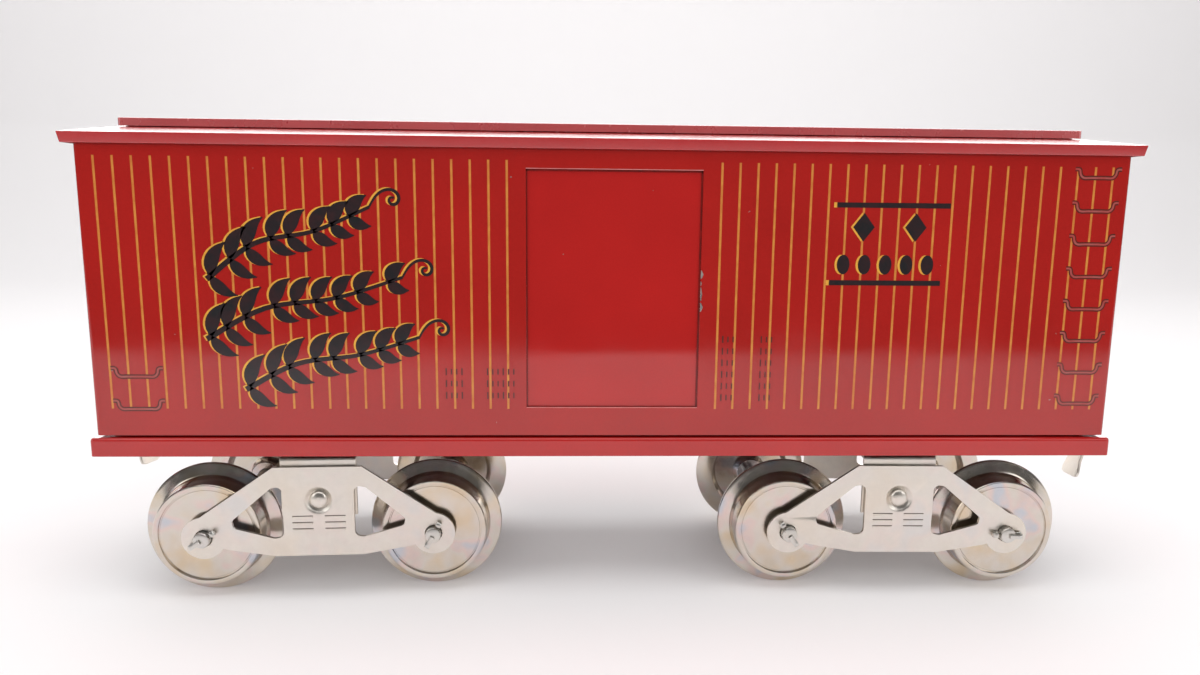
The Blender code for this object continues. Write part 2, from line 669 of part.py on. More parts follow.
# ---- assembly -----------------------------------------------------------------------
def build_body():
    """Everything that stays still on the car, with its two doors."""
    half_turn = Matrix.Rotation(math.pi, 4, "Z")
    link("floor_pan", floor_pan_mesh(), "red_enamel")
    link("roof", roof_mesh(), "roof_enamel")
    link("roofwalk", roofwalk_mesh(), "roof_enamel")
    for tag, turn in (("near", Matrix.Identity(4)), ("far", half_turn)):
        link(f"side_sheet_{tag}", side_sheet_mesh(), "red_enamel", turn)
        link(f"door_{tag}", door_mesh(), "red_enamel", turn)
        link(f"door_guide_top_{tag}", guide_mesh(True), "red_enamel", turn)
        link(f"door_guide_bottom_{tag}", guide_mesh(False), "red_enamel", turn)
    for tag, turn in (("A", Matrix.Identity(4)), ("B", half_turn)):
        link(f"end_panel_{tag}", end_panel_mesh(), "red_enamel", turn)
        at_truck = turn @ Matrix.Translation((TRUCK_X, 0.0, 0.0))
        pin_low = BOLSTER_TOP_Z - BOLSTER_THICKNESS - GAP
        pin = headed_pin("kingpin", KINGPIN_RADIUS, KINGPIN_HEAD_RADIUS, pin_low, SILL_TOP_Z + GAP,
                         1.3 * MM, 1.3 * MM)
        link(f"kingpin_{tag}", pin, "zinc_steel", at_truck)
        bore = KINGPIN_RADIUS + GAP
        low = BOLSTER_TOP_Z + GAP
        high = SILL_TOP_Z - SILL_SHEET - GAP
        ring = turned("spacer", [(bore, low), (5.2 * MM, low), (5.2 * MM, high), (bore, high)], PIN_SIDES, axis="Z")
        link(f"king_spacer_{tag}", ring, "zinc_steel", at_truck)


def build_truck(tag, yaw):
    """One truck, its two wheelsets and its coupler, hung on an axis at the kingpin."""
    place = Matrix.Rotation(yaw, 4, "Z") @ Vector((TRUCK_X, 0.0, 0.0))
    number = 0 if tag == "A" else 1
    axis = empty(f"axis_truck_{tag}", place, yaw + math.radians(TRUCK_YAW[number]))
    link(f"bolster_{tag}", bolster_mesh(), "nickel_plate", parent=axis)
    for side_tag, side in (("L", 1), ("R", -1)):
        link(f"side_frame_{tag}_{side_tag}", side_frame_mesh(side), "nickel_plate", parent=axis)
        link(f"frame_rivet_{tag}_{side_tag}", frame_rivet_mesh(side), "zinc_steel", parent=axis)
    pin = headed_pin("coupler_rivet", COUPLER_RIVET_RADIUS, 2.3 * MM, COUPLER_TOP_Z - COUPLER_THICKNESS - GAP,
                     BOLSTER_TOP_Z + GAP, 0.8 * MM, 0.8 * MM)
    link(f"coupler_rivet_{tag}", pin, "zinc_steel", Matrix.Translation((COUPLER_PIVOT_OUT, 0.0, 0.0)), axis)
    swing = math.radians(COUPLER_REST_SWING[number])
    pivot = empty(f"axis_coupler_{tag}", (COUPLER_PIVOT_OUT, 0.0, 0.0), -swing, axis)
    link(f"coupler_{tag}", coupler_mesh(), "nickel_plate", parent=pivot)
    for position, out in ((1, 1), (2, -1)):
        spindle = empty(f"axis_wheelset_{tag}{position}", (out * HALF_WHEELBASE, 0.0, AXLE_Z), 0.0, axis)
        name = f"{tag}{position}"
        for side_tag, side in (("L", 1), ("R", -1)):
            turn = Matrix.Identity(4) if side > 0 else Matrix.Rotation(math.pi, 4, "Z")
            link(f"wheel_{name}_{side_tag}", wheel_mesh(), "wheel_nickel", turn, spindle)
        angle = math.radians(COTTER_ANGLES[2 * number + position - 1])
        spin = Matrix.Rotation(-angle, 4, "Y")
        link(f"axle_{name}", axle_mesh(), "zinc_steel", spin, spindle)
        for side_tag, side in (("L", 1), ("R", -1)):
            at_end = Matrix.Translation((0.0, side * COTTER_Y, 0.0))
            if side < 0:
                at_end = at_end @ Matrix.Rotation(math.pi, 4, "X")
            link(f"cotter_{name}_{side_tag}", cotter_mesh(), "zinc_steel", spin @ at_end, spindle)


def main():
    for old in list(bpy.data.objects):
        bpy.data.objects.remove(old)
    build_body()
    build_truck("A", 0.0)
    build_truck("B", math.pi)


main()
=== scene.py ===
"""Toy box car in printed tin: finished surfaces, printing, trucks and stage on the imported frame."""
import json
import math

import bmesh
import bpy
from bpy.props import FloatProperty, FloatVectorProperty, IntProperty, PointerProperty
from mathutils import Matrix, Vector


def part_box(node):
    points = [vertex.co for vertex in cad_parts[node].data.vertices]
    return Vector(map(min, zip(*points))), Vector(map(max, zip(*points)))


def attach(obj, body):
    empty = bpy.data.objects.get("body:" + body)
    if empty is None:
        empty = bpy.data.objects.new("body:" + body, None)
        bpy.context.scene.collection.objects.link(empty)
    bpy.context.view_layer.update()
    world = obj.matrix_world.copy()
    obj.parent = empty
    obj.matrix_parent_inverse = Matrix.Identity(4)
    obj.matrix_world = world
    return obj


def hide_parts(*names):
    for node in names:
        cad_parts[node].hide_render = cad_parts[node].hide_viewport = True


bl_info = {
    "name": "Tin box car",
    "version": (1, 0, 0),
    "blender": (4, 5, 0),
    "location": "View3D > Sidebar > Box car",
    "description": "Builds a printed tin toy box car on its frame",
    "category": "Object",
}

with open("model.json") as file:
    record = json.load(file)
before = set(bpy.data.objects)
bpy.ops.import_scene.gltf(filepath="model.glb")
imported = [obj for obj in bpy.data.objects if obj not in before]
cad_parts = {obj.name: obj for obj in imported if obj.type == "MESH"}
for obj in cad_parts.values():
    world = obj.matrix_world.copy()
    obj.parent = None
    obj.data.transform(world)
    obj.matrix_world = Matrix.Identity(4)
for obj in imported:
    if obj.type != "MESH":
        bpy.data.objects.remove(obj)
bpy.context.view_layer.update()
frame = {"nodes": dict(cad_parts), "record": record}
MM = 0.001
ENDS = (("A", 1), ("B", -1))
HANDS = (("L", 1), ("R", -1))
WHEELSETS = ("A1", "A2", "B1", "B2")
COTTER_ANGLES = {"A1": 180.0, "A2": 125.0, "B1": 32.0, "B2": 62.0}

SIDE_LOW, SIDE_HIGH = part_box("side_sheet_near")
SIDE_FACE = SIDE_LOW.y
DOORWAY_HALF = 25.65 * MM
DOORWAY_LOW_Z = 60.3 * MM
DOORWAY_HIGH_Z = 130.3 * MM
RIVET_Z = 31.7 * MM


def joint(name):
    """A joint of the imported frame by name."""
    return next(j for j in frame["record"]["behaviour"]["joints"] if j["name"] == name)


def stand(end):
    """How truck A or B stands: its small turn about its kingpin."""
    axis = joint(f"wheelset_{end}1_roll")["axis"]
    pivot = Matrix.Translation(Vector(joint(f"truck_{end}_swivel")["pos_m"]))
    return pivot @ Matrix.Rotation(math.atan2(-axis[0], axis[1]), 4, "Z") @ pivot.inverted()


def straight_box(node, end):
    """A truck node's lowest and highest corners with its truck turned straight."""
    turn = stand(end).inverted()
    points = [turn @ vert.co for vert in frame["nodes"][node].data.vertices]
    low = Vector([min(p[k] for p in points) for k in range(3)])
    high = Vector([max(p[k] for p in points) for k in range(3)])
    return low, high


# ---- settings a user would change ---------------------------------------------------
def length(name, description, default):
    """A size in millimetres, kept in metres."""
    return FloatProperty(name=name, description=description, default=default * MM, unit="LENGTH",
                         subtype="DISTANCE", precision=5)


def colour(name, description, default):
    """A linear colour."""
    return FloatVectorProperty(name=name, description=description, default=default, size=3,
                               min=0.0, max=1.0, subtype="COLOR")


class BoxcarSheets(bpy.types.PropertyGroup):
    """Folded tin of the body."""
    sheet_edge: length("Sheet edge", "Rounding of the thin cut edges", 0.12)
    fold_edge: length("Fold edge", "Rounding of the sill's and the roof's folds", 0.45)
    enamel: colour("Enamel", "Printed red of the sides", (0.372, 0.0110, 0.0080))
    door_enamel: colour("Door enamel", "Red of the doors", (0.430, 0.0125, 0.0110))
    roof_enamel: colour("Roof enamel", "Red of the roof", (0.43, 0.016, 0.018))
    # The walk's red is paler than the roof's as painted sheen: the light the ridge walk catches is painted
    # into its colour.
    walk_sheen_enamel: colour("Walk enamel with painted sheen", "Paler red of the ridge walk", (0.52, 0.055, 0.060))
    sill_enamel: colour("Sill enamel", "Red of the sill", (0.43, 0.013, 0.012))
    corner_fold: length("Corner fold", "Rounding of the sides' upright corners", 1.1)
    lip_lean: length("Lip lean", "How far the foot of the roof's long lips leans in", 0.35)
    walk_shoulder: length("Walk shoulder", "Rounding of the ridge walk's upper edges", 2.0)
    tin: colour("Tin", "Bare tin where the print is chipped", (0.72, 0.70, 0.66))


class BoxcarPrinting(bpy.types.PropertyGroup):
    """Everything printed on the sides."""
    stripe_count: IntProperty(name="Stripes", description="Pinstripes on each side of a doorway",
                              default=23, min=1)
    stripe_first: length("First stripe", "From the car's middle to the nearest pinstripe", 31.1)
    stripe_pitch: length("Stripe pitch", "From one pinstripe to the next", 5.265)
    stripe_width: length("Stripe width", "Width of a pinstripe", 0.66)
    stripe_foot: length("Stripe foot", "Height of the pinstripes' lower ends", 59.7)
    stripe_head: length("Stripe head", "Height of the pinstripes' upper ends", 132.7)
    ink_lift: length("Ink lift", "Thickness of one layer of ink", 0.02)
    rung_count: IntProperty(name="Rungs", description="Printed grab irons in the tall row", default=8, min=2)
    ochre: colour("Ochre", "Pinstripe ink", (0.62, 0.245, 0.050))
    yellow: colour("Yellow", "Highlight ink", (0.75, 0.40, 0.06))
    black: colour("Black", "Dark ink", (0.016, 0.016, 0.018))


class BoxcarMetal(bpy.types.PropertyGroup):
    """Nickelled trucks and turned wheels."""
    wheel_sides: IntProperty(name="Wheel sides", description="Facets round a wheel", default=112, min=24)
    rim_radius: length("Rim radius", "Wheel face radius", 15.85)
    tread_radius: length("Tread radius", "Tread radius beside the flange", 16.6)
    groove_radius: length("Groove radius", "Turned line inside the rim", 14.2)
    plate_edge: length("Plate edge", "Rounding of the pressed plates' edges", 0.22)
    window_curl: length("Window curl", "Rounding of the frame windows beside the rivet", 0.72)
    nickel: colour("Nickel", "Warm satin nickel", (0.78, 0.735, 0.675))
    wheel_nickel: colour("Wheel nickel", "Nickel of the wheels", (0.65, 0.605, 0.55))
    zinc: colour("Zinc", "Dull bright zinc", (0.68, 0.665, 0.63))


# ---- shader groups ------------------------------------------------------------------
def new_group(name, inputs, outputs):
    """A shader node group with named sockets; gives its tree, entry and exit."""
    tree = bpy.data.node_groups.new(name, "ShaderNodeTree")
    for label, kind, value in inputs:
        socket = tree.interface.new_socket(name=label, in_out="INPUT", socket_type=kind)
        socket.default_value = value
    for label, kind in outputs:
        tree.interface.new_socket(name=label, in_out="OUTPUT", socket_type=kind)
    return tree, tree.nodes.new("NodeGroupInput"), tree.nodes.new("NodeGroupOutput")


def put(tree, kind, settings=None, **inputs):
    """Add a node, set its properties, and fill or link its inputs by name or number."""
    node = tree.nodes.new(kind)
    for key, value in (settings or {}).items():
        setattr(node, key, value)
    for key, value in inputs.items():
        label = int(key[1:]) if key[0] == "i" and key[1:].isdigit() else key.replace("_", " ")
        socket = node.inputs[label]
        if isinstance(value, bpy.types.NodeSocket):
            tree.links.new(value, socket)
        else:
            socket.default_value = value
    return node


def blend_colours(tree, share, first, second, blend="MIX"):
    """Mix two colours by a share."""
    node = tree.nodes.new("ShaderNodeMix")
    node.data_type = "RGBA"
    node.blend_type = blend
    for socket, value in ((node.inputs[0], share), (node.inputs[6], first), (node.inputs[7], second)):
        if isinstance(value, bpy.types.NodeSocket):
            tree.links.new(value, socket)
        else:
            socket.default_value = value
    return node.outputs[2]


def remap(tree, value, low, high, to_low, to_high):
    """Stretch a value onto another range, held inside it."""
    node = put(tree, "ShaderNodeMapRange", Value=value, From_Min=low, From_Max=high,
               To_Min=to_low, To_Max=to_high)
    return node.outputs[0]


def enamel_wear_group():
    """Printed enamel: uneven depth of colour, smudges in the gloss, and pinhead chips to the tin."""
    tree, entry, leave = new_group(
        "Enamel wear",
        [("Colour", "NodeSocketColor", (0.5, 0.01, 0.01, 1.0)),
         ("Tin", "NodeSocketColor", (0.7, 0.7, 0.7, 1.0)),
         ("Chips", "NodeSocketFloat", 0.5), ("Gloss", "NodeSocketFloat", 0.12)],
        [("Colour", "NodeSocketColor"), ("Roughness", "NodeSocketFloat"), ("Bare", "NodeSocketFloat")])
    where = put(tree, "ShaderNodeTexCoord").outputs["Object"]
    cloud = put(tree, "ShaderNodeTexNoise", Vector=where, Scale=34.0, Detail=3.0).outputs[0]
    fine = put(tree, "ShaderNodeTexNoise", Vector=where, Scale=1900.0, Detail=2.0).outputs[0]
    specks = put(tree, "ShaderNodeTexNoise", Vector=where, Scale=420.0, Detail=2.0, Roughness=0.6).outputs[0]
    patches = put(tree, "ShaderNodeTexNoise", Vector=where, Scale=55.0, Detail=1.0).outputs[0]
    depth = remap(tree, cloud, 0.3, 0.7, 0.93, 1.06)
    shade = put(tree, "ShaderNodeVectorMath", {"operation": "SCALE"}, i0=entry.outputs["Colour"], Scale=depth)
    grain = remap(tree, fine, 0.35, 0.65, 0.97, 1.03)
    grained = put(tree, "ShaderNodeVectorMath", {"operation": "SCALE"}, i0=shade.outputs[0], Scale=grain)
    chip = remap(tree, specks, 0.775, 0.79, 0.0, 1.0)
    spread = remap(tree, patches, 0.52, 0.60, 0.0, 1.0)
    both = put(tree, "ShaderNodeMath", {"operation": "MULTIPLY"}, i0=chip, i1=spread)
    bare = put(tree, "ShaderNodeMath", {"operation": "MULTIPLY"}, i0=both.outputs[0],
               i1=entry.outputs["Chips"])
    tree.links.new(blend_colours(tree, bare.outputs[0], grained.outputs[0], entry.outputs["Tin"]),
                   leave.inputs["Colour"])
    smudge = put(tree, "ShaderNodeTexNoise", Vector=where, Scale=70.0, Detail=4.0, Roughness=0.65).outputs[0]
    rub = remap(tree, smudge, 0.35, 0.75, 0.0, 0.07)
    rough = put(tree, "ShaderNodeMath", {"operation": "ADD"}, i0=entry.outputs["Gloss"], i1=rub)
    tree.links.new(rough.outputs[0], leave.inputs["Roughness"])
    tree.links.new(bare.outputs[0], leave.inputs["Bare"])
    return tree


def nickel_tint_group():
    """Nickel plate: faint straw, pink and blue patches, and rubbed and clouded gloss."""
    tree, entry, leave = new_group(
        "Nickel tint",
        [("Colour", "NodeSocketColor", (0.7, 0.65, 0.6, 1.0)), ("Tint", "NodeSocketFloat", 0.3),
         ("Patch", "NodeSocketFloat", 90.0), ("Gloss", "NodeSocketFloat", 0.3)],
        [("Colour", "NodeSocketColor"), ("Roughness", "NodeSocketFloat")])
    where = put(tree, "ShaderNodeTexCoord").outputs["Object"]
    patch = put(tree, "ShaderNodeTexNoise", Vector=where, Scale=entry.outputs["Patch"], Detail=2.0).outputs[0]
    hue = put(tree, "ShaderNodeValToRGB", Fac=patch)
    ramp = hue.color_ramp
    ramp.elements[0].position = 0.30
    ramp.elements[0].color = (1.00, 0.86, 0.66, 1.0)
    ramp.elements[1].position = 0.68
    ramp.elements[1].color = (0.78, 0.88, 1.08, 1.0)
    middle = ramp.elements.new(0.50)
    middle.color = (1.0, 0.99, 0.98, 1.0)
    pink = ramp.elements.new(0.58)
    pink.color = (1.06, 0.90, 0.92, 1.0)
    tinted = blend_colours(tree, entry.outputs["Tint"], entry.outputs["Colour"], hue.outputs[0], "MULTIPLY")
    cloud = put(tree, "ShaderNodeTexNoise", Vector=where, Scale=160.0, Detail=5.0, Roughness=0.6).outputs[0]
    depth = remap(tree, cloud, 0.3, 0.7, 0.92, 1.05)
    shade = put(tree, "ShaderNodeVectorMath", {"operation": "SCALE"}, i0=tinted, Scale=depth)
    tree.links.new(shade.outputs[0], leave.inputs["Colour"])
    rub = remap(tree, cloud, 0.3, 0.7, -0.05, 0.09)
    rough = put(tree, "ShaderNodeMath", {"operation": "ADD"}, i0=entry.outputs["Gloss"], i1=rub)
    tree.links.new(rough.outputs[0], leave.inputs["Roughness"])
    return tree


def rolled_grain_group():
    """Height of rolled sheet: a shallow waviness and a fine tooth."""
    tree, entry, leave = new_group(
        "Rolled grain", [("Tooth", "NodeSocketFloat", 0.2), ("Wave", "NodeSocketFloat", 0.5)],
        [("Height", "NodeSocketFloat")])
    where = put(tree, "ShaderNodeTexCoord").outputs["Object"]
    long_way = put(tree, "ShaderNodeMapping", Vector=where, Scale=(0.6, 1.0, 1.6)).outputs[0]
    wave = put(tree, "ShaderNodeTexNoise", Vector=long_way, Scale=26.0, Detail=1.0).outputs[0]
    tooth = put(tree, "ShaderNodeTexNoise", Vector=where, Scale=2600.0, Detail=2.0).outputs[0]
    low = put(tree, "ShaderNodeMath", {"operation": "MULTIPLY"}, i0=wave, i1=entry.outputs["Wave"])
    high = put(tree, "ShaderNodeMath", {"operation": "MULTIPLY"}, i0=tooth, i1=entry.outputs["Tooth"])
    both = put(tree, "ShaderNodeMath", {"operation": "ADD"}, i0=low.outputs[0], i1=high.outputs[0])
    tree.links.new(both.outputs[0], leave.inputs["Height"])
    return tree


def group_named(name):
    """A shader group, built at its first use."""
    makers = {"Enamel wear": enamel_wear_group, "Nickel tint": nickel_tint_group,
              "Rolled grain": rolled_grain_group}
    return bpy.data.node_groups.get(name) or makers[name]()


# ---- finishes -----------------------------------------------------------------------
def blank_finish(name):
    """A material with its Principled shader, ready for a group; gives both and the tree."""
    made = bpy.data.materials.new(name)
    made.use_nodes = True
    tree = made.node_tree
    return made, tree, tree.nodes["Principled BSDF"]


def place_group(tree, name, **values):
    """Place a shared group and set its inputs."""
    node = tree.nodes.new("ShaderNodeGroup")
    node.node_tree = group_named(name)
    for key, value in values.items():
        node.inputs[key].default_value = value
    return node


def add_grain(tree, shader, tooth, wave, depth):
    """Bump from the rolled sheet's height."""
    grain = place_group(tree, "Rolled grain", Tooth=tooth, Wave=wave)
    bump = put(tree, "ShaderNodeBump", Height=grain.outputs["Height"], Distance=depth, Strength=0.6)
    tree.links.new(bump.outputs[0], shader.inputs["Normal"])


def enamel(name, rgb, chips, gloss, dark_below=False, shine=1.62):
    """Glossy printed enamel on tin; faces that look down can be turned dark brown instead."""
    made, tree, shader = blank_finish(name)
    tin = bpy.context.scene.boxcar_sheets.tin
    wear = place_group(tree, "Enamel wear", Colour=(*rgb, 1.0), Tin=(*tin, 1.0), Chips=chips, Gloss=gloss)
    coat = wear.outputs["Colour"]
    if dark_below:
        # Faces that look down are turned dark brown.
        facing = put(tree, "ShaderNodeNewGeometry").outputs["True Normal"]
        upward = put(tree, "ShaderNodeSeparateXYZ", Vector=facing).outputs["Z"]
        below = remap(tree, upward, -0.9, -0.6, 1.0, 0.0)
        coat = blend_colours(tree, below, coat, (0.085, 0.035, 0.028, 1.0))
    tree.links.new(coat, shader.inputs["Base Color"])
    tree.links.new(wear.outputs["Roughness"], shader.inputs["Roughness"])
    tree.links.new(wear.outputs["Bare"], shader.inputs["Metallic"])
    shader.inputs["IOR"].default_value = shine
    add_grain(tree, shader, 0.05, 1.0, 0.00006)
    return made


def plated(name, rgb, tint, patch, gloss, tooth=0.15, depth=0.00003):
    """Nickel or zinc plate."""
    made, tree, shader = blank_finish(name)
    plate = place_group(tree, "Nickel tint", Colour=(*rgb, 1.0), Tint=tint, Patch=patch, Gloss=gloss)
    tree.links.new(plate.outputs["Colour"], shader.inputs["Base Color"])
    tree.links.new(plate.outputs["Roughness"], shader.inputs["Roughness"])
    shader.inputs["Metallic"].default_value = 1.0
    add_grain(tree, shader, tooth, 0.3, depth)
    return made


def ink(name, rgb, spread):
    """Printing ink, a little uneven where it thins over the red."""
    made, tree, shader = blank_finish(name)
    where = put(tree, "ShaderNodeTexCoord").outputs["Object"]
    thin = put(tree, "ShaderNodeTexNoise", Vector=where, Scale=330.0, Detail=3.0).outputs[0]
    share = remap(tree, thin, 0.3, 0.7, 0.0, spread)
    red = bpy.context.scene.boxcar_sheets.enamel
    mixed = blend_colours(tree, share, (*rgb, 1.0), (*red, 1.0))
    tree.links.new(mixed, shader.inputs["Base Color"])
    shader.inputs["Roughness"].default_value = 0.16
    return made


def finish(name):
    """A finish of the car by name, made at its first use."""
    found = bpy.data.materials.get(name)
    if found:
        return found
    sheets = bpy.context.scene.boxcar_sheets
    printing = bpy.context.scene.boxcar_printing
    metal = bpy.context.scene.boxcar_metal
    makers = {
        "Side enamel": lambda: enamel(name, sheets.enamel, 0.8, 0.075),
        "Door enamel": lambda: enamel(name, sheets.door_enamel, 1.0, 0.035),
        "Roof enamel": lambda: enamel(name, sheets.roof_enamel, 0.6, 0.16, False, 1.9),
        # The walk's paler red is painted sheen on the roof's red.
        "Walk enamel with painted sheen": lambda: enamel(name, sheets.walk_sheen_enamel, 0.3, 0.24, False, 2.6),
        "Sill enamel": lambda: enamel(name, sheets.sill_enamel, 0.5, 0.08, True),
        "Truck nickel": lambda: plated(name, metal.nickel, 0.22, 70.0, 0.34),
        "Wheel nickel": lambda: plated(name, metal.wheel_nickel, 0.80, 105.0, 0.17, 0.05, 0.00001),
        "Groove shade": lambda: plated(name, (0.20, 0.17, 0.15), 0.1, 150.0, 0.45),
        "Pin zinc": lambda: plated(name, metal.zinc, 0.15, 150.0, 0.30, 0.6, 0.00006),
        "Ochre ink": lambda: ink(name, printing.ochre, 0.35),
        "Yellow ink": lambda: ink(name, printing.yellow, 0.25),
        "Black ink": lambda: ink(name, printing.black, 0.05),
        "Umber ink": lambda: ink(name, (0.085, 0.018, 0.014), 0.15),
        "Rose ink": lambda: ink(name, (0.36, 0.10, 0.09), 0.5),
        # Painted shadow for the doorway's edges, made like ink.
        "Painted shade": lambda: ink(name, (0.13, 0.010, 0.009), 0.4),
        # Painted highlight for the doorway's edges, made like ink.
        "Pink painted highlight": lambda: ink(name, (0.62, 0.23, 0.22), 0.4),
        "Bare tin": lambda: plated(name, sheets.tin, 0.1, 150.0, 0.28),
    }
    return makers[name]()


# ---- mesh tools ---------------------------------------------------------------------
def object_from(bm, name, sharp=30.0):
    """Turn a bmesh into a smooth-shaded object in the scene."""
    mesh = bpy.data.meshes.new(name)
    bm.to_mesh(mesh)
    bm.free()
    mesh.shade_smooth()
    mesh.set_sharp_from_angle(angle=math.radians(sharp))
    piece = bpy.data.objects.new(name, mesh)
    bpy.context.scene.collection.objects.link(piece)
    return piece


def settle(piece, body, look, slot, *nodes):
    """Give a finished piece its look and hang it on its body."""
    piece.data.materials.clear()
    piece.data.materials.append(finish(look))
    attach(piece, body)
    if nodes:
        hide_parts(*nodes)
    return piece


def baked(piece):
    """Apply a piece's modifiers by replacing its mesh."""
    bpy.context.view_layer.update()
    graph = bpy.context.evaluated_depsgraph_get()
    mesh = bpy.data.meshes.new_from_object(piece.evaluated_get(graph))
    piece.modifiers.clear()
    piece.data = mesh
    return piece


def evened(piece):
    """Shade flat faces flat, with only the rounded edges smooth."""
    steady = piece.modifiers.new("Even shading", "WEIGHTED_NORMAL")
    steady.keep_sharp = True
    return baked(piece)


def softened(node, name, width, segments=2, angle=25.0, first=None):
    """The frame's own shape with its edges rounded; first can round some edges more beforehand."""
    source = frame["nodes"][node]
    bm = bmesh.new()
    bm.from_mesh(source.data)
    bmesh.ops.remove_doubles(bm, verts=bm.verts, dist=0.000004)
    bmesh.ops.dissolve_limit(bm, angle_limit=math.radians(0.6), verts=bm.verts, edges=bm.edges)
    if first:
        chosen, wide = first
        edges = [e for e in bm.edges if e.is_manifold and chosen(*(v.co for v in e.verts))]
        bmesh.ops.bevel(bm, geom=edges, offset=wide, segments=4, profile=0.5, affect="EDGES",
                        clamp_overlap=True)
    edges = [e for e in bm.edges if e.is_manifold and e.calc_face_angle(0.0) > math.radians(angle)]
    bmesh.ops.bevel(bm, geom=edges, offset=width, segments=segments, profile=0.5, affect="EDGES",
                    clamp_overlap=True)
    return evened(object_from(bm, name, 40.0))


def turned(name, profile, sides, centre, axis, flip=False):
    """Turn (radius, height) points round an axis through a centre; radius 0 closes an end."""
    bm = bmesh.new()
    rings = []
    for radius, height in profile:
        if radius <= 0.0:
            rings.append([bm.verts.new((0.0, 0.0, height))])
        else:
            steps = [math.tau * k / sides for k in range(sides)]
            rings.append([bm.verts.new((radius * math.cos(a), radius * math.sin(a), height)) for a in steps])
    closed = len(rings[0]) > 1
    for first, second in list(zip(rings, rings[1:])) + ([(rings[-1], rings[0])] if closed else []):
        for k in range(sides):
            j = (k + 1) % sides
            corners = [first[k % len(first)], first[j % len(first)],
                       second[j % len(second)], second[k % len(second)]]
            bm.faces.new(list(dict.fromkeys(corners)))
    turn = Matrix.Identity(3)
    if axis == "Y":
        turn = Matrix.Rotation(-math.pi / 2, 3, "X")
    if flip:
        turn = Matrix.Rotation(math.pi, 3, "Z" if axis == "Y" else "X") @ turn
    bmesh.ops.rotate(bm, verts=bm.verts, cent=(0, 0, 0), matrix=turn)
    bmesh.ops.translate(bm, verts=bm.verts, vec=centre)
    bmesh.ops.recalc_face_normals(bm, faces=bm.faces)
    return object_from(bm, name, 28.0)


def arc(centre, radius, start, end, steps):
    """Points of an arc, with angles in degrees."""
    angles = [math.radians(start + (end - start) * k / steps) for k in range(steps + 1)]
    return [(centre[0] + radius * math.cos(a), centre[1] + radius * math.sin(a)) for a in angles]


def slab(bm, outline, near, far):
    """Add a closed slab to a bmesh: an (x, z) outline between two distances along Y."""
    front = [bm.verts.new((x, near, z)) for x, z in outline]
    back = [bm.verts.new((x, far, z)) for x, z in outline]
    bm.faces.new(front)
    bm.faces.new(list(reversed(back)))
    for i in range(len(outline)):
        j = (i + 1) % len(outline)
        bm.faces.new((front[j], front[i], back[i], back[j]))


def ribbon(path, widths):
    """Outline of a stroke that follows a path, with a width at each of its points."""
    left, right = [], []
    for i, point in enumerate(path):
        before = Vector(path[max(i - 1, 0)])
        after = Vector(path[min(i + 1, len(path) - 1)])
        across = Vector((before.y - after.y, after.x - before.x)).normalized() * widths[i] / 2.0
        left.append(tuple(Vector(point) + across))
        right.append(tuple(Vector(point) - across))
    return left + right[::-1]


def stroke(bm, path, widths, near, far):
    """Add a stroke to a bmesh as a strip of short slabs joined into one body."""
    count = len(path)
    outline = ribbon(path, widths)
    left, right = outline[:count], outline[count:][::-1]
    rows = []
    for y in (near, far):
        rows.append([(bm.verts.new((a[0], y, a[1])), bm.verts.new((b[0], y, b[1])))
                     for a, b in zip(left, right)])
    for i in range(count - 1):
        (fl, fr), (gl, gr) = rows[0][i], rows[0][i + 1]
        (bl, br), (cl, cr) = rows[1][i], rows[1][i + 1]
        bm.faces.new((fl, fr, gr, gl))
        bm.faces.new((bl, cl, cr, br))
        bm.faces.new((fl, gl, cl, bl))
        bm.faces.new((fr, br, cr, gr))
    for i in (0, -1):
        bm.faces.new((rows[0][i][0], rows[0][i][1], rows[1][i][1], rows[1][i][0]))


def smooth_path(points, steps=6):
    """A smooth curve through points, as many short steps."""
    out = []
    for i in range(len(points) - 1):
        p0, p1, p2, p3 = (Vector(points[max(0, min(len(points) - 1, i + k))]) for k in (-1, 0, 1, 2))
        for s in range(steps):
            t = s / steps
            out.append(tuple(0.5 * ((2 * p1) + (p2 - p0) * t + (2 * p0 - 5 * p1 + 4 * p2 - p3) * t * t
                                    + (3 * p1 - p0 - 3 * p2 + p3) * t * t * t)))
    out.append(tuple(points[-1]))
    return out


# ---- geometry nodes -----------------------------------------------------------------
def row_tree():
    """Copies of a mesh in a straight row: Count of them, each one Step further on."""
    found = bpy.data.node_groups.get("Row of copies")
    if found:
        return found
    tree = bpy.data.node_groups.new("Row of copies", "GeometryNodeTree")
    face = tree.interface
    face.new_socket(name="Geometry", in_out="INPUT", socket_type="NodeSocketGeometry")
    face.new_socket(name="Count", in_out="INPUT", socket_type="NodeSocketInt")
    face.new_socket(name="Step", in_out="INPUT", socket_type="NodeSocketVector")
    face.new_socket(name="Finish", in_out="INPUT", socket_type="NodeSocketMaterial")
    face.new_socket(name="Geometry", in_out="OUTPUT", socket_type="NodeSocketGeometry")
    entry = tree.nodes.new("NodeGroupInput")
    leave = tree.nodes.new("NodeGroupOutput")
    line = tree.nodes.new("GeometryNodeMeshLine")
    copies = tree.nodes.new("GeometryNodeInstanceOnPoints")
    real = tree.nodes.new("GeometryNodeRealizeInstances")
    look = tree.nodes.new("GeometryNodeSetMaterial")
    link = tree.links.new
    link(entry.outputs["Count"], line.inputs["Count"])
    link(entry.outputs["Step"], line.inputs["Offset"])
    link(line.outputs["Mesh"], copies.inputs["Points"])
    link(entry.outputs["Geometry"], copies.inputs["Instance"])
    link(copies.outputs["Instances"], real.inputs["Geometry"])
    link(real.outputs["Geometry"], look.inputs["Geometry"])
    link(entry.outputs["Finish"], look.inputs["Material"])
    link(look.outputs["Geometry"], leave.inputs["Geometry"])
    return tree


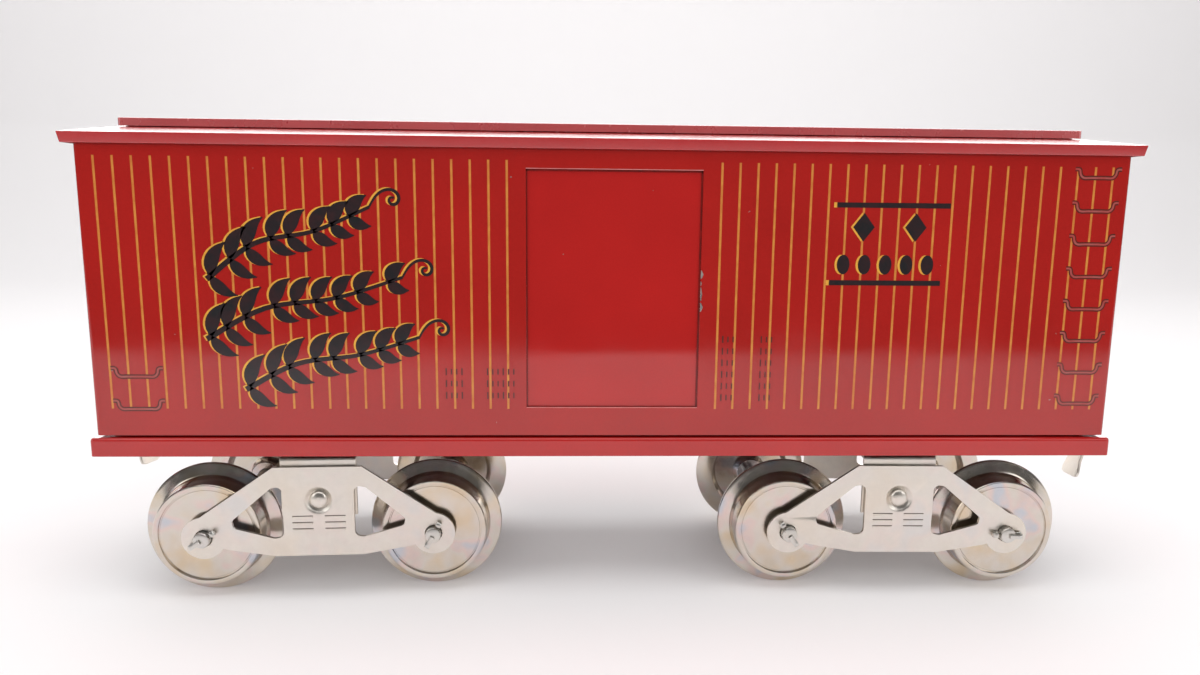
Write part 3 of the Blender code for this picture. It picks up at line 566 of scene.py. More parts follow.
def in_a_row(piece, count, step, look):
    """Repeat a piece along a straight step, as one plain mesh."""
    tree = row_tree()
    modifier = piece.modifiers.new("Row", "NODES")
    modifier.node_group = tree
    ids = {item.name: item.identifier for item in tree.interface.items_tree if item.in_out == "INPUT"}
    modifier[ids["Count"]] = count
    modifier[ids["Step"]] = step
    modifier[ids["Finish"]] = finish(look)
    return baked(piece)


# ---- printing -----------------------------------------------------------------------
def layer(level):
    """Where an ink layer's two faces lie along Y on the near side."""
    lift = bpy.context.scene.boxcar_printing.ink_lift
    return SIDE_FACE - lift * (level + 1), SIDE_FACE - lift * level * 0.5 - 0.000004


def print_on_sides(name, build, look, level=0, count=1, step=(0.0, 0.0, 0.0)):
    """Print the same thing on both sides of the car; build adds its (x, z) shapes to a bmesh."""
    for side, half_turn in (("near", False), ("far", True)):
        bm = bmesh.new()
        build(bm, *layer(level))
        bmesh.ops.recalc_face_normals(bm, faces=bm.faces)
        piece = object_from(bm, f"{name}_{side}", 40.0)
        if count > 1:
            in_a_row(piece, count, step, look)
        if half_turn:
            piece.data.transform(Matrix.Rotation(math.pi, 4, "Z"))
        settle(piece, "car_body", look, "side_red")


def print_pinstripes():
    """The rows of upright pinstripes either side of the doorway."""
    printing = bpy.context.scene.boxcar_printing
    half = printing.stripe_width / 2.0
    for name, turn in (("pinstripes_left", -1), ("pinstripes_right", 1)):
        middle = turn * printing.stripe_first

        def one_stripe(bm, near, far, middle=middle):
            outline = [(middle - half, printing.stripe_foot), (middle + half, printing.stripe_foot),
                       (middle + half, printing.stripe_head), (middle - half, printing.stripe_head)]
            slab(bm, outline, near, far)

        print_on_sides(name, one_stripe, "Ochre ink", 0, printing.stripe_count,
                       (turn * printing.stripe_pitch, 0.0, 0.0))


def rung_path(left, right, bar_z, rise):
    """A printed grab iron: a bar whose ends turn up and out."""
    foot = 1.5 * MM
    turn = 0.9 * MM
    half = [(-foot, rise), (-0.2 * MM, rise * 0.94), (0.2 * MM, turn), (1.2 * MM, 0.0), (3.4 * MM, 0.0)]
    corners = [(left + x, bar_z + z) for x, z in half]
    corners += [(right - x, bar_z + z) for x, z in reversed(half)]
    return smooth_path(corners, 4)


def print_grab_irons():
    """The tall row of printed grab irons at one end and the two at the other."""
    printing = bpy.context.scene.boxcar_printing
    top_z, bottom_z = 129.6 * MM, 61.5 * MM
    drop = (top_z - bottom_z) / (printing.rung_count - 1)
    rows = [("ladder", 137.0 * MM, 148.0 * MM, top_z, printing.rung_count),
            ("corner_grabs", -145.2 * MM, -133.2 * MM, 69.3 * MM, 2)]
    for name, left, right, z, count in rows:
        path = rung_path(left, right, z, 2.5 * MM)
        for part, look, width, level in (("edge", "Umber ink", 1.35, 1), ("core", "Rose ink", 0.55, 2)):

            def one_rung(bm, near, far, path=path, width=width):
                stroke(bm, path, [width * MM] * len(path), near, far)

            print_on_sides(f"{name}_{part}", one_rung, look, level, count, (0.0, 0.0, -drop))


def leaf(x, z, reach, heading, bend, fat):
    """A pointed leaf from its foot: path and widths. Heading and bend are in degrees."""
    path = [(x, z)]
    steps = 12
    for k in range(steps):
        angle = math.radians(heading + bend * (k / (steps - 1) - 0.15))
        last = path[-1]
        path.append((last[0] + math.cos(angle) * reach / steps, last[1] + math.sin(angle) * reach / steps))
    widths = [max(0.06 * fat, fat * math.sin(math.pi * (k / steps) ** 0.75)) for k in range(steps + 1)]
    return path, widths


def tendril(x, z, reach, heading, turns, fat):
    """A thin tendril that coils in at its tip: path and widths."""
    path = [(x, z)]
    steps = 34
    for k in range(steps):
        along = k / steps
        angle = math.radians(heading + 360.0 * turns * along ** 1.7)
        pace = reach / steps * (1.35 - 0.95 * along)
        last = path[-1]
        path.append((last[0] + math.cos(angle) * pace, last[1] + math.sin(angle) * pace))
    widths = [fat * (0.55 + 0.45 * math.sin(math.pi * k / steps)) for k in range(steps)] + [fat * 0.9]
    return path, widths


def garland_strokes():
    """A generic ornament: three leafy sprays, one above another, each leaning to the right."""
    strokes = []
    sprays = [(-117.5, 98.0, 47.0, 20.0, 8), (-118.5, 80.5, 57.0, 17.5, 9), (-108.0, 65.5, 51.0, 15.0, 8)]
    for x, z, run, rise, count in sprays:
        stem = smooth_path([(x, z), (x + run * 0.3, z + rise * 0.52), (x + run * 0.66, z + rise * 0.70),
                            (x + run, z + rise * 1.05)], 7)
        strokes.append((stem, [1.7 - 0.8 * k / (len(stem) - 1) for k in range(len(stem))]))
        for k in range(count):
            place = stem[int((k + 0.6) / (count + 0.4) * (len(stem) - 1))]
            size = 11.4 - 0.45 * k
            strokes.append(leaf(*place, size, 86.0 - 2.0 * k, -62.0, 4.1))
            strokes.append(leaf(*place, size * 0.86, -58.0 + 2.0 * k, 58.0, 3.5))
        strokes.append(tendril(*stem[-1], 21.0, 62.0, -1.35, 0.95))
    return [([(a * MM, b * MM) for a, b in path], [w * MM for w in widths]) for path, widths in strokes]


def print_emblem():
    """The ornament left of the doorway, dark with a bright left edge."""
    strokes = garland_strokes()
    for name, look, shift, level in (("glow", "Yellow ink", -0.6 * MM, 1), ("leaves", "Black ink", 0.0, 3)):

        def garland(bm, near, far, shift=shift):
            for path, widths in strokes:
                stroke(bm, [(x + shift, z - shift * 0.3) for x, z in path], widths, near, far)

        print_on_sides(f"emblem_{name}", garland, look, level)


def print_panel_marks():
    """Two bars with lozenges and beads between them, and small rows of ticks by the doorway."""
    def bars(bm, near, far):
        for left, right, z in ((65.2, 99.0, 121.0), (63.9, 97.4, 98.2)):
            slab(bm, [(left * MM, (z - 0.75) * MM), (right * MM, (z - 0.75) * MM),
                      (right * MM, (z + 0.75) * MM), (left * MM, (z + 0.75) * MM)], near, far)

    def bar_ends(bm, near, far):
        for left, z in ((64.3, 121.0), (63.0, 98.2)):
            slab(bm, [(left * MM, (z - 0.75) * MM), ((left + 1.2) * MM, (z - 0.75) * MM),
                      ((left + 1.2) * MM, (z + 0.75) * MM), (left * MM, (z + 0.75) * MM)], near, far)

    print_on_sides("panel_bars", bars, "Black ink", 3)
    print_on_sides("panel_bar_ends", bar_ends, "Yellow ink", 1)
    marks = [("lozenge", 73.5, 114.6, 3.2, 4.2, 2, 15.5), ("bead", 67.9, 103.6, 1.9, 2.9, 5, 6.3)]
    for name, x, z, half_x, half_z, count, pitch in marks:
        for part, look, shift, level in (("glow", "Yellow ink", -0.7, 1), ("dark", "Black ink", 0.0, 3)):
            sides = 4 if name == "lozenge" else 18

            def one_mark(bm, near, far, x=x + shift, z=z, half_x=half_x, half_z=half_z, sides=sides):
                outline = [((x + half_x * math.cos(math.tau * k / sides)) * MM,
                            (z + half_z * math.sin(math.tau * k / sides)) * MM) for k in range(sides)]
                slab(bm, outline, near, far)

            print_on_sides(f"{name}_{part}", one_mark, look, level, count, (pitch * MM, 0.0, 0.0))
    ticks = [("ticks_left", -49.6, 71.0, 3, 3.6, ((0.0, 6.2), (12.2, 9.5))),
             ("ticks_right", 32.6, 81.0, 6, 3.55, ((0.0, 5.6), (11.6, 4.8)))]
    for name, x, z, count, pitch, dashes in ticks:

        def one_line(bm, near, far, x=x, z=z, dashes=dashes):
            for start, run in dashes:
                for k in range(int(run / 1.55)):
                    left = x + start + 1.55 * k
                    tall = 0.85 if k % 3 else 1.05
                    slab(bm, [(left * MM, (z - tall) * MM), ((left + 0.42) * MM, (z - tall) * MM),
                              ((left + 0.42) * MM, (z + tall) * MM), (left * MM, (z + tall) * MM)], near, far)

        print_on_sides(name, one_line, "Umber ink", 2, count, (0.0, 0.0, -pitch * MM))


def print_doorway_line():
    """Each doorway's cut edge: painted shadow behind it, in front of the door, and a painted pink highlight
    above and below.
    """
    left, right = -DOORWAY_HALF, DOORWAY_HALF
    top, foot = DOORWAY_HIGH_Z, DOORWAY_LOW_Z

    def bars(bm, near, far, corners):
        for x0, x1, z0, z1 in corners:
            slab(bm, [(x0, z0), (x1, z0), (x1, z1), (x0, z1)], near, far)

    # Painted shadow: a thin dark frame inside the doorway, in front of the door, where shade falls.
    def shade(bm, _near, _far):
        bars(bm, SIDE_FACE + 0.50 * MM, SIDE_FACE + 0.56 * MM,
             [(left, left + 0.36 * MM, foot, top), (right - 0.50 * MM, right, foot, top),
              (left, right, top - 0.50 * MM, top), (left, right, foot, foot + 0.20 * MM)])

    # Painted highlight: thin pink lines along the doorway's top and bottom cut edges.
    def rub(bm, near, far):
        bars(bm, near, far, [(left, right, top + 0.05 * MM, top + 0.27 * MM),
                             (left, right, foot - 0.27 * MM, foot - 0.05 * MM)])

    print_on_sides("doorway_shade", shade, "Painted shade")
    print_on_sides("doorway_painted_highlight", rub, "Pink painted highlight")


def doorway_scrape():
    """Bare tin on the near doorway's edge, where fingers and the door rub."""
    x = DOORWAY_HALF
    bits = [(101.6, 99.0, 0.80), (98.4, 96.8, 0.40), (96.6, 92.4, 0.60), (92.0, 89.2, 0.85)]
    bm = bmesh.new()
    near, far = layer(0)
    for top, bottom, wide in bits:
        middle = (top + bottom) / 2.0
        slab(bm, [(x + 0.02 * MM, bottom * MM), (x + wide * 0.5 * MM, (bottom + 0.3) * MM),
                  (x + wide * MM, middle * MM), (x + wide * 0.4 * MM, (top - 0.2) * MM),
                  (x + 0.02 * MM, top * MM)], near, far)
    bmesh.ops.recalc_face_normals(bm, faces=bm.faces)
    settle(object_from(bm, "doorway_scrape"), "car_body", "Bare tin", "side_red")


# ---- body pieces --------------------------------------------------------------------
def outer_corner(first, second):
    """Whether an edge is one of the body's four long upright corners."""
    upright = abs(first.z - second.z) > 50.0 * MM
    return upright and all(abs(p.x) > SIDE_HIGH.x - 0.1 * MM and abs(abs(p.y) + SIDE_FACE) < 0.1 * MM
                           for p in (first, second))


def make_sheets():
    """Sides, ends, doors and the doors' guides."""
    sheets = bpy.context.scene.boxcar_sheets
    for side in ("near", "far"):
        node = f"side_sheet_{side}"
        settle(softened(node, f"side_{side}", sheets.sheet_edge, 2, 25.0, (outer_corner, sheets.corner_fold)),
               "car_body", "Side enamel", "side_red", node)
        node = f"door_{side}"
        settle(softened(node, f"door_leaf_{side}", sheets.sheet_edge, 2), f"door_{side}", "Door enamel",
               "door_red", node)
        for edge in ("top", "bottom"):
            node = f"door_guide_{edge}_{side}"
            settle(softened(node, f"guide_{edge}_{side}", sheets.sheet_edge, 1), "car_body", "Side enamel",
                   "side_red", node)
    for end, _ in ENDS:
        node = f"end_panel_{end}"
        panel = softened(node, f"end_{end}", sheets.sheet_edge, 2)
        settle(panel, "car_body", "Side enamel", "side_red", node)


def make_roof():
    """Roof sheet and the walk along its ridge."""
    sheets = bpy.context.scene.boxcar_sheets
    roof = softened("roof", "roof_sheet", sheets.fold_edge * 0.45, 3, 12.0)
    lip_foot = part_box("roof")[0].z
    for vert in roof.data.vertices:
        if vert.co.z < lip_foot + 0.6 * MM:
            vert.co.y -= math.copysign(sheets.lip_lean, vert.co.y)
    settle(roof, "car_body", "Roof enamel", "roof_red", "roof")
    _, walk_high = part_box("roofwalk")

    def shoulder(first, second):
        return min(first.z, second.z) > walk_high.z - 1.0 * MM and max(abs(first.y), abs(second.y)) > 3.0 * MM

    walk = softened("roofwalk", "ridge_walk", sheets.fold_edge * 0.45, 3, 25.0,
                    (shoulder, sheets.walk_shoulder))
    settle(walk, "car_body", "Walk enamel with painted sheen", "roof_red", "roofwalk")


def make_sill():
    """The floor pan with its folded sill."""
    sheets = bpy.context.scene.boxcar_sheets
    settle(softened("floor_pan", "sill_pan", sheets.fold_edge * 0.4, 3), "car_body", "Sill enamel",
           "sill_red", "floor_pan")


# ---- truck pieces -------------------------------------------------------------------
def rounded(corners, radius, steps=5):
    """Round the corners of a closed outline with arcs."""
    points = []
    count = len(corners)
    for i, corner in enumerate(corners):
        here = Vector(corner)
        back = (Vector(corners[i - 1]) - here).normalized()
        ahead = (Vector(corners[(i + 1) % count]) - here).normalized()
        half = math.acos(max(-1.0, min(1.0, back.dot(ahead)))) / 2.0
        centre = here + (back + ahead).normalized() * (radius / math.sin(half))
        first = here + back * (radius / math.tan(half)) - centre
        last = here + ahead * (radius / math.tan(half)) - centre
        for k in range(steps + 1):
            points.append(tuple(centre + first.lerp(last, k / steps).normalized() * radius))
    return points


def pressed_bar(bm, left, right, z, half, foot, crest):
    """A low bar with rounded ends and sloping sides, raised from one distance along Y to another."""
    base = rounded([(left, z - half * 1.6), (right, z - half * 1.6), (right, z + half * 1.6),
                    (left, z + half * 1.6)], half * 1.3, 3)
    crown = rounded([(left + half, z - half * 0.7), (right - half, z - half * 0.7),
                     (right - half, z + half * 0.7), (left + half, z + half * 0.7)], half * 0.6, 3)
    rings = [[bm.verts.new((x, y, w)) for x, w in ring] for ring, y in ((base, foot), (crown, crest))]
    bm.faces.new(rings[0])
    bm.faces.new(rings[1])
    for i in range(len(base)):
        j = (i + 1) % len(base)
        bm.faces.new((rings[0][i], rings[0][j], rings[1][j], rings[1][i]))


def spring_lines(middle):
    """Left end, right end and height of the six lines stamped under a frame's rivet."""
    for row in range(3):
        for turn in (-1, 1):
            ends = (middle + turn * 1.7 * MM, middle + turn * 7.9 * MM)
            yield min(ends), max(ends), (26.7 - 1.97 * row) * MM


def side_frame(node, name, end, side):
    """The pressed frame: rounded edges, windows curled inward beside the rivet, six raised lines."""
    metal = bpy.context.scene.boxcar_metal
    low, high = straight_box(node, end)
    middle = (low.x + high.x) / 2.0
    outer = high.y if side > 0 else low.y
    straight = stand(end).inverted()

    def beside_rivet(*corners):
        for corner in corners:
            x, y, z = straight @ corner
            if abs(y - outer) > 0.05 * MM or not 10.2 * MM < abs(x - middle) < 14.2 * MM:
                return False
            if not 19.0 * MM < z < 37.0 * MM:
                return False
        return True

    plate = softened(node, name, metal.plate_edge, 3, 30.0, (beside_rivet, metal.window_curl))
    plate.data.transform(straight)
    bm = bmesh.new()
    bm.from_mesh(plate.data)
    for left, right, z in spring_lines(middle):
        pressed_bar(bm, left, right, z - 0.32 * MM, 0.22 * MM,
                    outer - side * 0.1 * MM, outer + side * 0.24 * MM)
    bmesh.ops.recalc_face_normals(bm, faces=bm.faces)
    bm.to_mesh(plate.data)
    bm.free()
    plate.data.transform(stand(end))
    plate.data.shade_smooth()
    plate.data.set_sharp_from_angle(angle=math.radians(40.0))
    return evened(plate)


def stamped_lines(node, name, end, side):
    """The dark bottoms of the lines stamped in a side frame."""
    low, high = straight_box(node, end)
    outer = high.y if side > 0 else low.y
    bm = bmesh.new()
    for left, right, z in spring_lines((low.x + high.x) / 2.0):
        corners = [(left, z - 0.02 * MM), (right, z - 0.02 * MM),
                   (right, z + 0.24 * MM), (left, z + 0.24 * MM)]
        slab(bm, rounded(corners, 0.1 * MM, 2), outer - side * 0.05 * MM, outer + side * 0.03 * MM)
    bmesh.ops.recalc_face_normals(bm, faces=bm.faces)
    piece = object_from(bm, name)
    piece.data.transform(stand(end))
    return piece


def frame_rivet(node, name, end, side):
    """The dished seat in the frame's middle with a domed rivet in it."""
    low, high = straight_box(node, end)
    back = low.y if side > 0 else -high.y
    crown = back + high.y - low.y
    face = crown - 0.5 * MM
    edge = (high.x - low.x) / 2.0 + 0.5 * MM
    profile = [(0.0, back), (2.2 * MM, back), (2.55 * MM, back + 0.35 * MM), (2.6 * MM, back + 0.9 * MM),
               (1.5 * MM, back + 0.95 * MM), (1.5 * MM, face - 1.3 * MM), (edge - 0.5 * MM, face - 0.9 * MM),
               (edge - 0.1 * MM, face - 0.3 * MM), (edge + 0.35 * MM, face + 0.015 * MM),
               (edge - 0.1 * MM, face + 0.03 * MM), (edge - 0.35 * MM, face - 0.06 * MM),
               (edge - 0.7 * MM, face - 0.38 * MM), (edge - 1.1 * MM, face - 0.70 * MM),
               (2.85 * MM, face - 0.86 * MM), (2.74 * MM, face - 0.80 * MM), (2.70 * MM, face - 0.55 * MM),
               (2.50 * MM, face - 0.20 * MM), (2.10 * MM, face + 0.13 * MM), (1.50 * MM, face + 0.35 * MM),
               (0.75 * MM, face + 0.47 * MM), (0.0, crown)]
    centre = ((low.x + high.x) / 2.0, 0.0, RIVET_Z)
    piece = turned(name, profile, 56, centre, "Y", side < 0)
    piece.data.transform(stand(end))
    return piece


def pin(node, name, radius):
    """A round-headed pin that stands upright through its node's box."""
    low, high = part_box(node)
    head = (high.x - low.x) / 2.0
    tall = 1.2 * MM if head > 3.0 * MM else 0.75 * MM
    foot = low.z + tall
    top = high.z - tall
    profile = [(0.0, low.z), (head * 0.55, low.z + tall * 0.08), (head * 0.85, low.z + tall * 0.38),
               (head, foot), (radius, foot), (radius, top), (head, top), (head * 0.85, high.z - tall * 0.38),
               (head * 0.55, high.z - tall * 0.08), (0.0, high.z)]
    return turned(name, profile, 40, ((low.x + high.x) / 2.0, (low.y + high.y) / 2.0, 0.0), "Z")


def make_trucks():
    """Bolsters, side frames and their rivets, kingpins and spacers."""
    metal = bpy.context.scene.boxcar_metal
    for end, way in ENDS:
        body = f"truck_{end}"
        settle(softened(f"bolster_{end}", f"cross_bar_{end}", metal.plate_edge, 2), body, "Truck nickel",
               "truck_nickel", f"bolster_{end}")
        for hand, side in HANDS:
            outward = side * way
            node = f"side_frame_{end}_{hand}"
            pressing = side_frame(node, f"pressed_{node}", end, outward)
            settle(pressing, body, "Truck nickel", "truck_nickel", node)
            settle(stamped_lines(node, f"stamped_lines_{end}_{hand}", end, outward), body, "Groove shade",
                   "truck_nickel")
            node = f"frame_rivet_{end}_{hand}"
            rivet = frame_rivet(node, f"dished_{node}", end, outward)
            settle(rivet, body, "Truck nickel", "zinc_steel", node)
        node = f"coupler_rivet_{end}"
        settle(pin(node, f"round_{node}", 1.3 * MM), body, "Pin zinc", "zinc_steel", node)
        node = f"kingpin_{end}"
        settle(pin(node, f"round_{node}", 2.2 * MM), "car_body", "Pin zinc", "zinc_steel", node)
        node = f"king_spacer_{end}"
        low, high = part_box(node)
        ring = (high.x - low.x) / 2.0
        profile = [(2.5 * MM, low.z), (ring - 0.3 * MM, low.z), (ring, low.z + 0.3 * MM),
                   (ring, high.z - 0.3 * MM), (ring - 0.3 * MM, high.z), (2.5 * MM, high.z)]
        spacer = turned(f"round_{node}", profile, 40, ((low.x + high.x) / 2.0, 0.0, 0.0), "Z")
        settle(spacer, "car_body", "Pin zinc", "zinc_steel", node)


def make_couplers():
    """The slotted arms with their bent-down tongues."""
    metal = bpy.context.scene.boxcar_metal
    for end, _ in ENDS:
        node = f"coupler_{end}"
        hook = softened(node, f"drop_hook_{end}", metal.plate_edge, 3)
        settle(hook, node, "Truck nickel", "truck_nickel", node)


# ---- wheelsets ----------------------------------------------------------------------
def wheel(node, name, end, side):
    """A turned wheel: hollow back, rounded flange, tapered tread, rim, line and flat web."""
    metal = bpy.context.scene.boxcar_metal
    low, high = straight_box(node, end)
    back = (low.y if side > 0 else -high.y) + 1.6 * MM
    face = high.y if side > 0 else -low.y
    flange = (high.z - low.z) / 2.0
    middle = ((low.x + high.x) / 2.0, 0.0, (low.z + high.z) / 2.0)
    bore = 2.7 * MM
    line = metal.groove_radius
    rim = metal.rim_radius
    web = face - 0.42 * MM
    tip = back + 0.75 * MM
    profile = [
        (bore, back - 1.6 * MM), (4.9 * MM, back - 1.6 * MM), (5.2 * MM, back - 1.3 * MM),
        (5.5 * MM, back + 1.0 * MM), (6.2 * MM, back + 2.2 * MM), (13.0 * MM, back + 2.2 * MM),
        (14.0 * MM, back + 1.2 * MM), (14.6 * MM, back), (flange - 0.55 * MM, back),
        (flange - 0.2 * MM, back + 0.16 * MM), (flange, tip - 0.25 * MM), (flange, tip + 0.2 * MM),
        (flange - 0.25 * MM, tip + 0.62 * MM), (flange - 0.9 * MM, tip + 0.82 * MM),
        (metal.tread_radius + 0.9 * MM, tip + 1.05 * MM), (metal.tread_radius + 0.25 * MM, tip + 1.35 * MM),
        (metal.tread_radius, tip + 1.9 * MM), (rim + 0.12 * MM, face - 0.5 * MM), (rim, face - 0.28 * MM),
        (rim - 0.2 * MM, face - 0.06 * MM), (rim - 0.5 * MM, face), (line + 0.32 * MM, face),
        (line + 0.12 * MM, face - 0.1 * MM), (line + 0.02 * MM, web - 0.12 * MM),
        (line - 0.28 * MM, web - 0.12 * MM), (line - 0.4 * MM, web), (9.0 * MM, web + 0.05 * MM),
        (4.2 * MM, web), (bore, web)]
    piece = turned(name, profile, metal.wheel_sides, middle, "Y", side < 0)
    piece.data.transform(stand(end))
    return piece


def axle(node, name, end, angle):
    """The axle with its chamfered ends and a cross hole near each."""
    low, high = straight_box(node, end)
    tip = high.y
    middle = Vector(((low.x + high.x) / 2.0, 0.0, (low.z + high.z) / 2.0))
    radius = 2.4 * MM
    profile = [(0.0, -tip), (radius - 0.7 * MM, -tip), (radius - 0.2 * MM, -tip + 0.15 * MM),
               (radius, -tip + 0.5 * MM), (radius, tip - 0.5 * MM), (radius - 0.2 * MM, tip - 0.15 * MM),
               (radius - 0.7 * MM, tip), (0.0, tip)]
    rod = turned(name, profile, 48, middle, "Y")
    turn = Matrix.Rotation(math.pi / 2 - math.radians(angle), 4, "Y")
    helpers = []
    for _, side in HANDS:
        drill = turned("drill", [(0.0, -5 * MM), (0.8 * MM, -5 * MM), (0.8 * MM, 5 * MM), (0.0, 5 * MM)], 20,
                       (0.0, 0.0, 0.0), "Z")
        place = Matrix.Translation(middle + Vector((0.0, side * (tip - 1.15 * MM), 0.0)))
        drill.data.transform(place @ turn)
        cut = rod.modifiers.new("Hole", "BOOLEAN")
        cut.object = drill
        helpers.append(drill)
    baked(rod)
    for drill in helpers:
        bpy.data.objects.remove(drill)
    rod.data.transform(stand(end))
    return rod


def strip(bm, path, half_thick, half_wide):
    """Sweep a flat wire with rounded edges along an (x, y) path and close its ends."""
    section = [(1.0, -0.55), (1.0, 0.55), (0.45, 1.0), (-0.45, 1.0), (-1.0, 0.55), (-1.0, -0.55),
               (-0.45, -1.0), (0.45, -1.0)]
    rings = []
    for i, point in enumerate(path):
        before = Vector(path[max(i - 1, 0)])
        after = Vector(path[min(i + 1, len(path) - 1)])
        across = Vector((before.y - after.y, after.x - before.x)).normalized() * half_thick
        rings.append([bm.verts.new((point[0] + across.x * a, point[1] + across.y * a, half_wide * b))
                      for a, b in section])
    for first, second in zip(rings, rings[1:]):
        for k in range(8):
            j = (k + 1) % 8
            bm.faces.new((first[k], first[j], second[j], second[k]))
    bm.faces.new(rings[0])
    bm.faces.new(rings[-1])


def cotter(node, name, end, side, angle):
    """A split pin of flat wire: an eye, a shank through the axle, one leg folded over the axle's end."""
    axle_low, axle_high = straight_box(node.replace("cotter", "axle")[:-2], end)
    tip = (axle_high.y - axle_low.y) / 2.0
    hole = tip - 1.15 * MM
    middle = Vector(((axle_low.x + axle_high.x) / 2.0, side * hole, (axle_low.z + axle_high.z) / 2.0))
    rim = 2.4 * MM
    thin = 0.24 * MM
    eye = 0.80 * MM
    eye_x = rim + eye + 0.36 * MM
    over = tip - hole + 0.15 * MM + thin
    fold = -rim - 0.85 * MM
    loop = arc((eye_x, 0.0), eye, 160.0, -160.0, 16)
    long_leg = smooth_path([(rim, thin * 1.05), (-rim, thin * 1.05), (fold - 0.15 * MM, thin * 1.6),
                            (fold - 0.75 * MM, over * 0.45), (fold - 0.70 * MM, over * 0.85),
                            (fold - 0.1 * MM, over * 1.12), (-rim + 0.1 * MM, over * 1.06),
                            (-0.25 * MM, over)], 4)
    short_leg = smooth_path([(rim, -thin * 1.05), (-rim, -thin * 1.05), (fold, -thin * 1.2),
                             (fold - 1.35 * MM, -0.62 * MM)], 4)
    bm = bmesh.new()
    strip(bm, loop, thin, 0.74 * MM)
    for leg in (long_leg, short_leg):
        # Inside the axle the wire is drawn in to the hole's width, then it is full width again.
        inside = [p for p in leg if p[0] > -rim + 0.2 * MM and p[1] < over * 0.6]
        outside = leg[len(inside) - 1:]
        strip(bm, inside, thin, 0.48 * MM)
        strip(bm, outside, thin, 0.74 * MM)
    bmesh.ops.recalc_face_normals(bm, faces=bm.faces)
    piece = object_from(bm, name, 45.0)
    if side < 0:
        piece.data.transform(Matrix.Rotation(math.pi, 4, "X"))
    turn = Matrix.Translation(middle) @ Matrix.Rotation(-math.radians(angle), 4, "Y")
    piece.data.transform(stand(end) @ turn)
    return piece


def make_wheelsets():
    """Wheels, axles and cotters, which turn together."""
    for code in WHEELSETS:
        body = f"wheelset_{code}"
        end = code[0]
        way = dict(ENDS)[end]
        angle = COTTER_ANGLES[code]
        node = f"axle_{code}"
        settle(axle(node, f"drilled_{node}", end, angle), body, "Pin zinc", "zinc_steel", node)
        for hand, side in HANDS:
            outward = side * way
            node = f"wheel_{code}_{hand}"
            settle(wheel(node, f"turned_{node}", end, outward), body, "Wheel nickel", "wheel_nickel", node)
            node = f"cotter_{code}_{hand}"
            settle(cotter(node, f"split_{node}", end, outward, angle), body, "Pin zinc", "zinc_steel", node)


# ---- stage --------------------------------------------------------------------------
def plain(name, rgb, rough, glow):
    """A plain matt finish for the stage, with a faint glow that keeps it near white."""
    made, _, shader = blank_finish(name)
    shader.inputs["Base Color"].default_value = (*rgb, 1.0)
    shader.inputs["Roughness"].default_value = rough
    shader.inputs["Specular IOR Level"].default_value = 0.2
    shader.inputs["Emission Color"].default_value = (1.0, 0.99, 1.0, 1.0)
    shader.inputs["Emission Strength"].default_value = glow
    return made


def stage_sheet():
    """A pale sheet: flat under the car, then swept up far behind it."""
    bm = bmesh.new()
    front, fold, sweep, top = -0.47, 0.9, 0.5, 2.4
    section = [(front, 0.0), (fold, 0.0)]
    for step in range(1, 11):
        angle = math.radians(9.0 * step)
        section.append((fold + sweep * math.sin(angle), sweep - sweep * math.cos(angle)))
    section.append((fold + sweep, top))
    rows = [[bm.verts.new((x, y, z)) for x in (-2.6, 2.6)] for y, z in section]
    for first, second in zip(rows, rows[1:]):
        bm.faces.new((first[0], first[1], second[1], second[0]))
    sheet = object_from(bm, "stage_sheet", 60.0)
    sheet.data.materials.append(plain("Stage paper", (0.92, 0.90, 0.905), 0.85, 0.07))


def soft_light(name, place, aim, size, power, glossy=True, hidden=False):
    """A rectangular soft light that looks at a point."""
    data = bpy.data.lights.new(name, "AREA")
    data.shape = "RECTANGLE"
    data.size, data.size_y = size
    data.energy = power
    lamp = bpy.data.objects.new(name, data)
    lamp.location = place
    lamp.rotation_euler = (Vector(aim) - Vector(place)).to_track_quat("-Z", "Y").to_euler()
    lamp.visible_glossy = glossy
    lamp.visible_camera = not hidden
    lamp.visible_diffuse = not hidden
    bpy.context.scene.collection.objects.link(lamp)


def make_camera():
    """The three-quarter front view, a little above the middle of the car."""
    data = bpy.data.cameras.new("View")
    data.sensor_width = 36.0
    data.lens = 24.78
    data.clip_start = 0.01
    camera = bpy.data.objects.new("View", data)
    bpy.context.scene.collection.objects.link(camera)
    right = Vector((0.99924, -0.03766, 0.01006))
    down = Vector((0.00416, -0.15354, -0.98813))
    ahead = Vector((0.03876, 0.98742, -0.15327))
    turn = Matrix((right, -down, -ahead)).transposed().to_4x4()
    camera.matrix_world = Matrix.Translation((-0.01337, -0.2770, 0.1190)) @ turn
    bpy.context.scene.camera = camera


def make_world():
    """Even pale surroundings that glossy surfaces see only dimly."""
    world = bpy.data.worlds.new("Room")
    world.use_nodes = True
    tree = world.node_tree
    shade = tree.nodes["Background"]
    path = tree.nodes.new("ShaderNodeLightPath")
    dim = remap(tree, path.outputs["Is Glossy Ray"], 0.0, 1.0, 0.26, 0.10)
    tree.links.new(dim, shade.inputs["Strength"])
    shade.inputs["Color"].default_value = (1.0, 0.99, 0.985, 1.0)
    bpy.context.scene.world = world


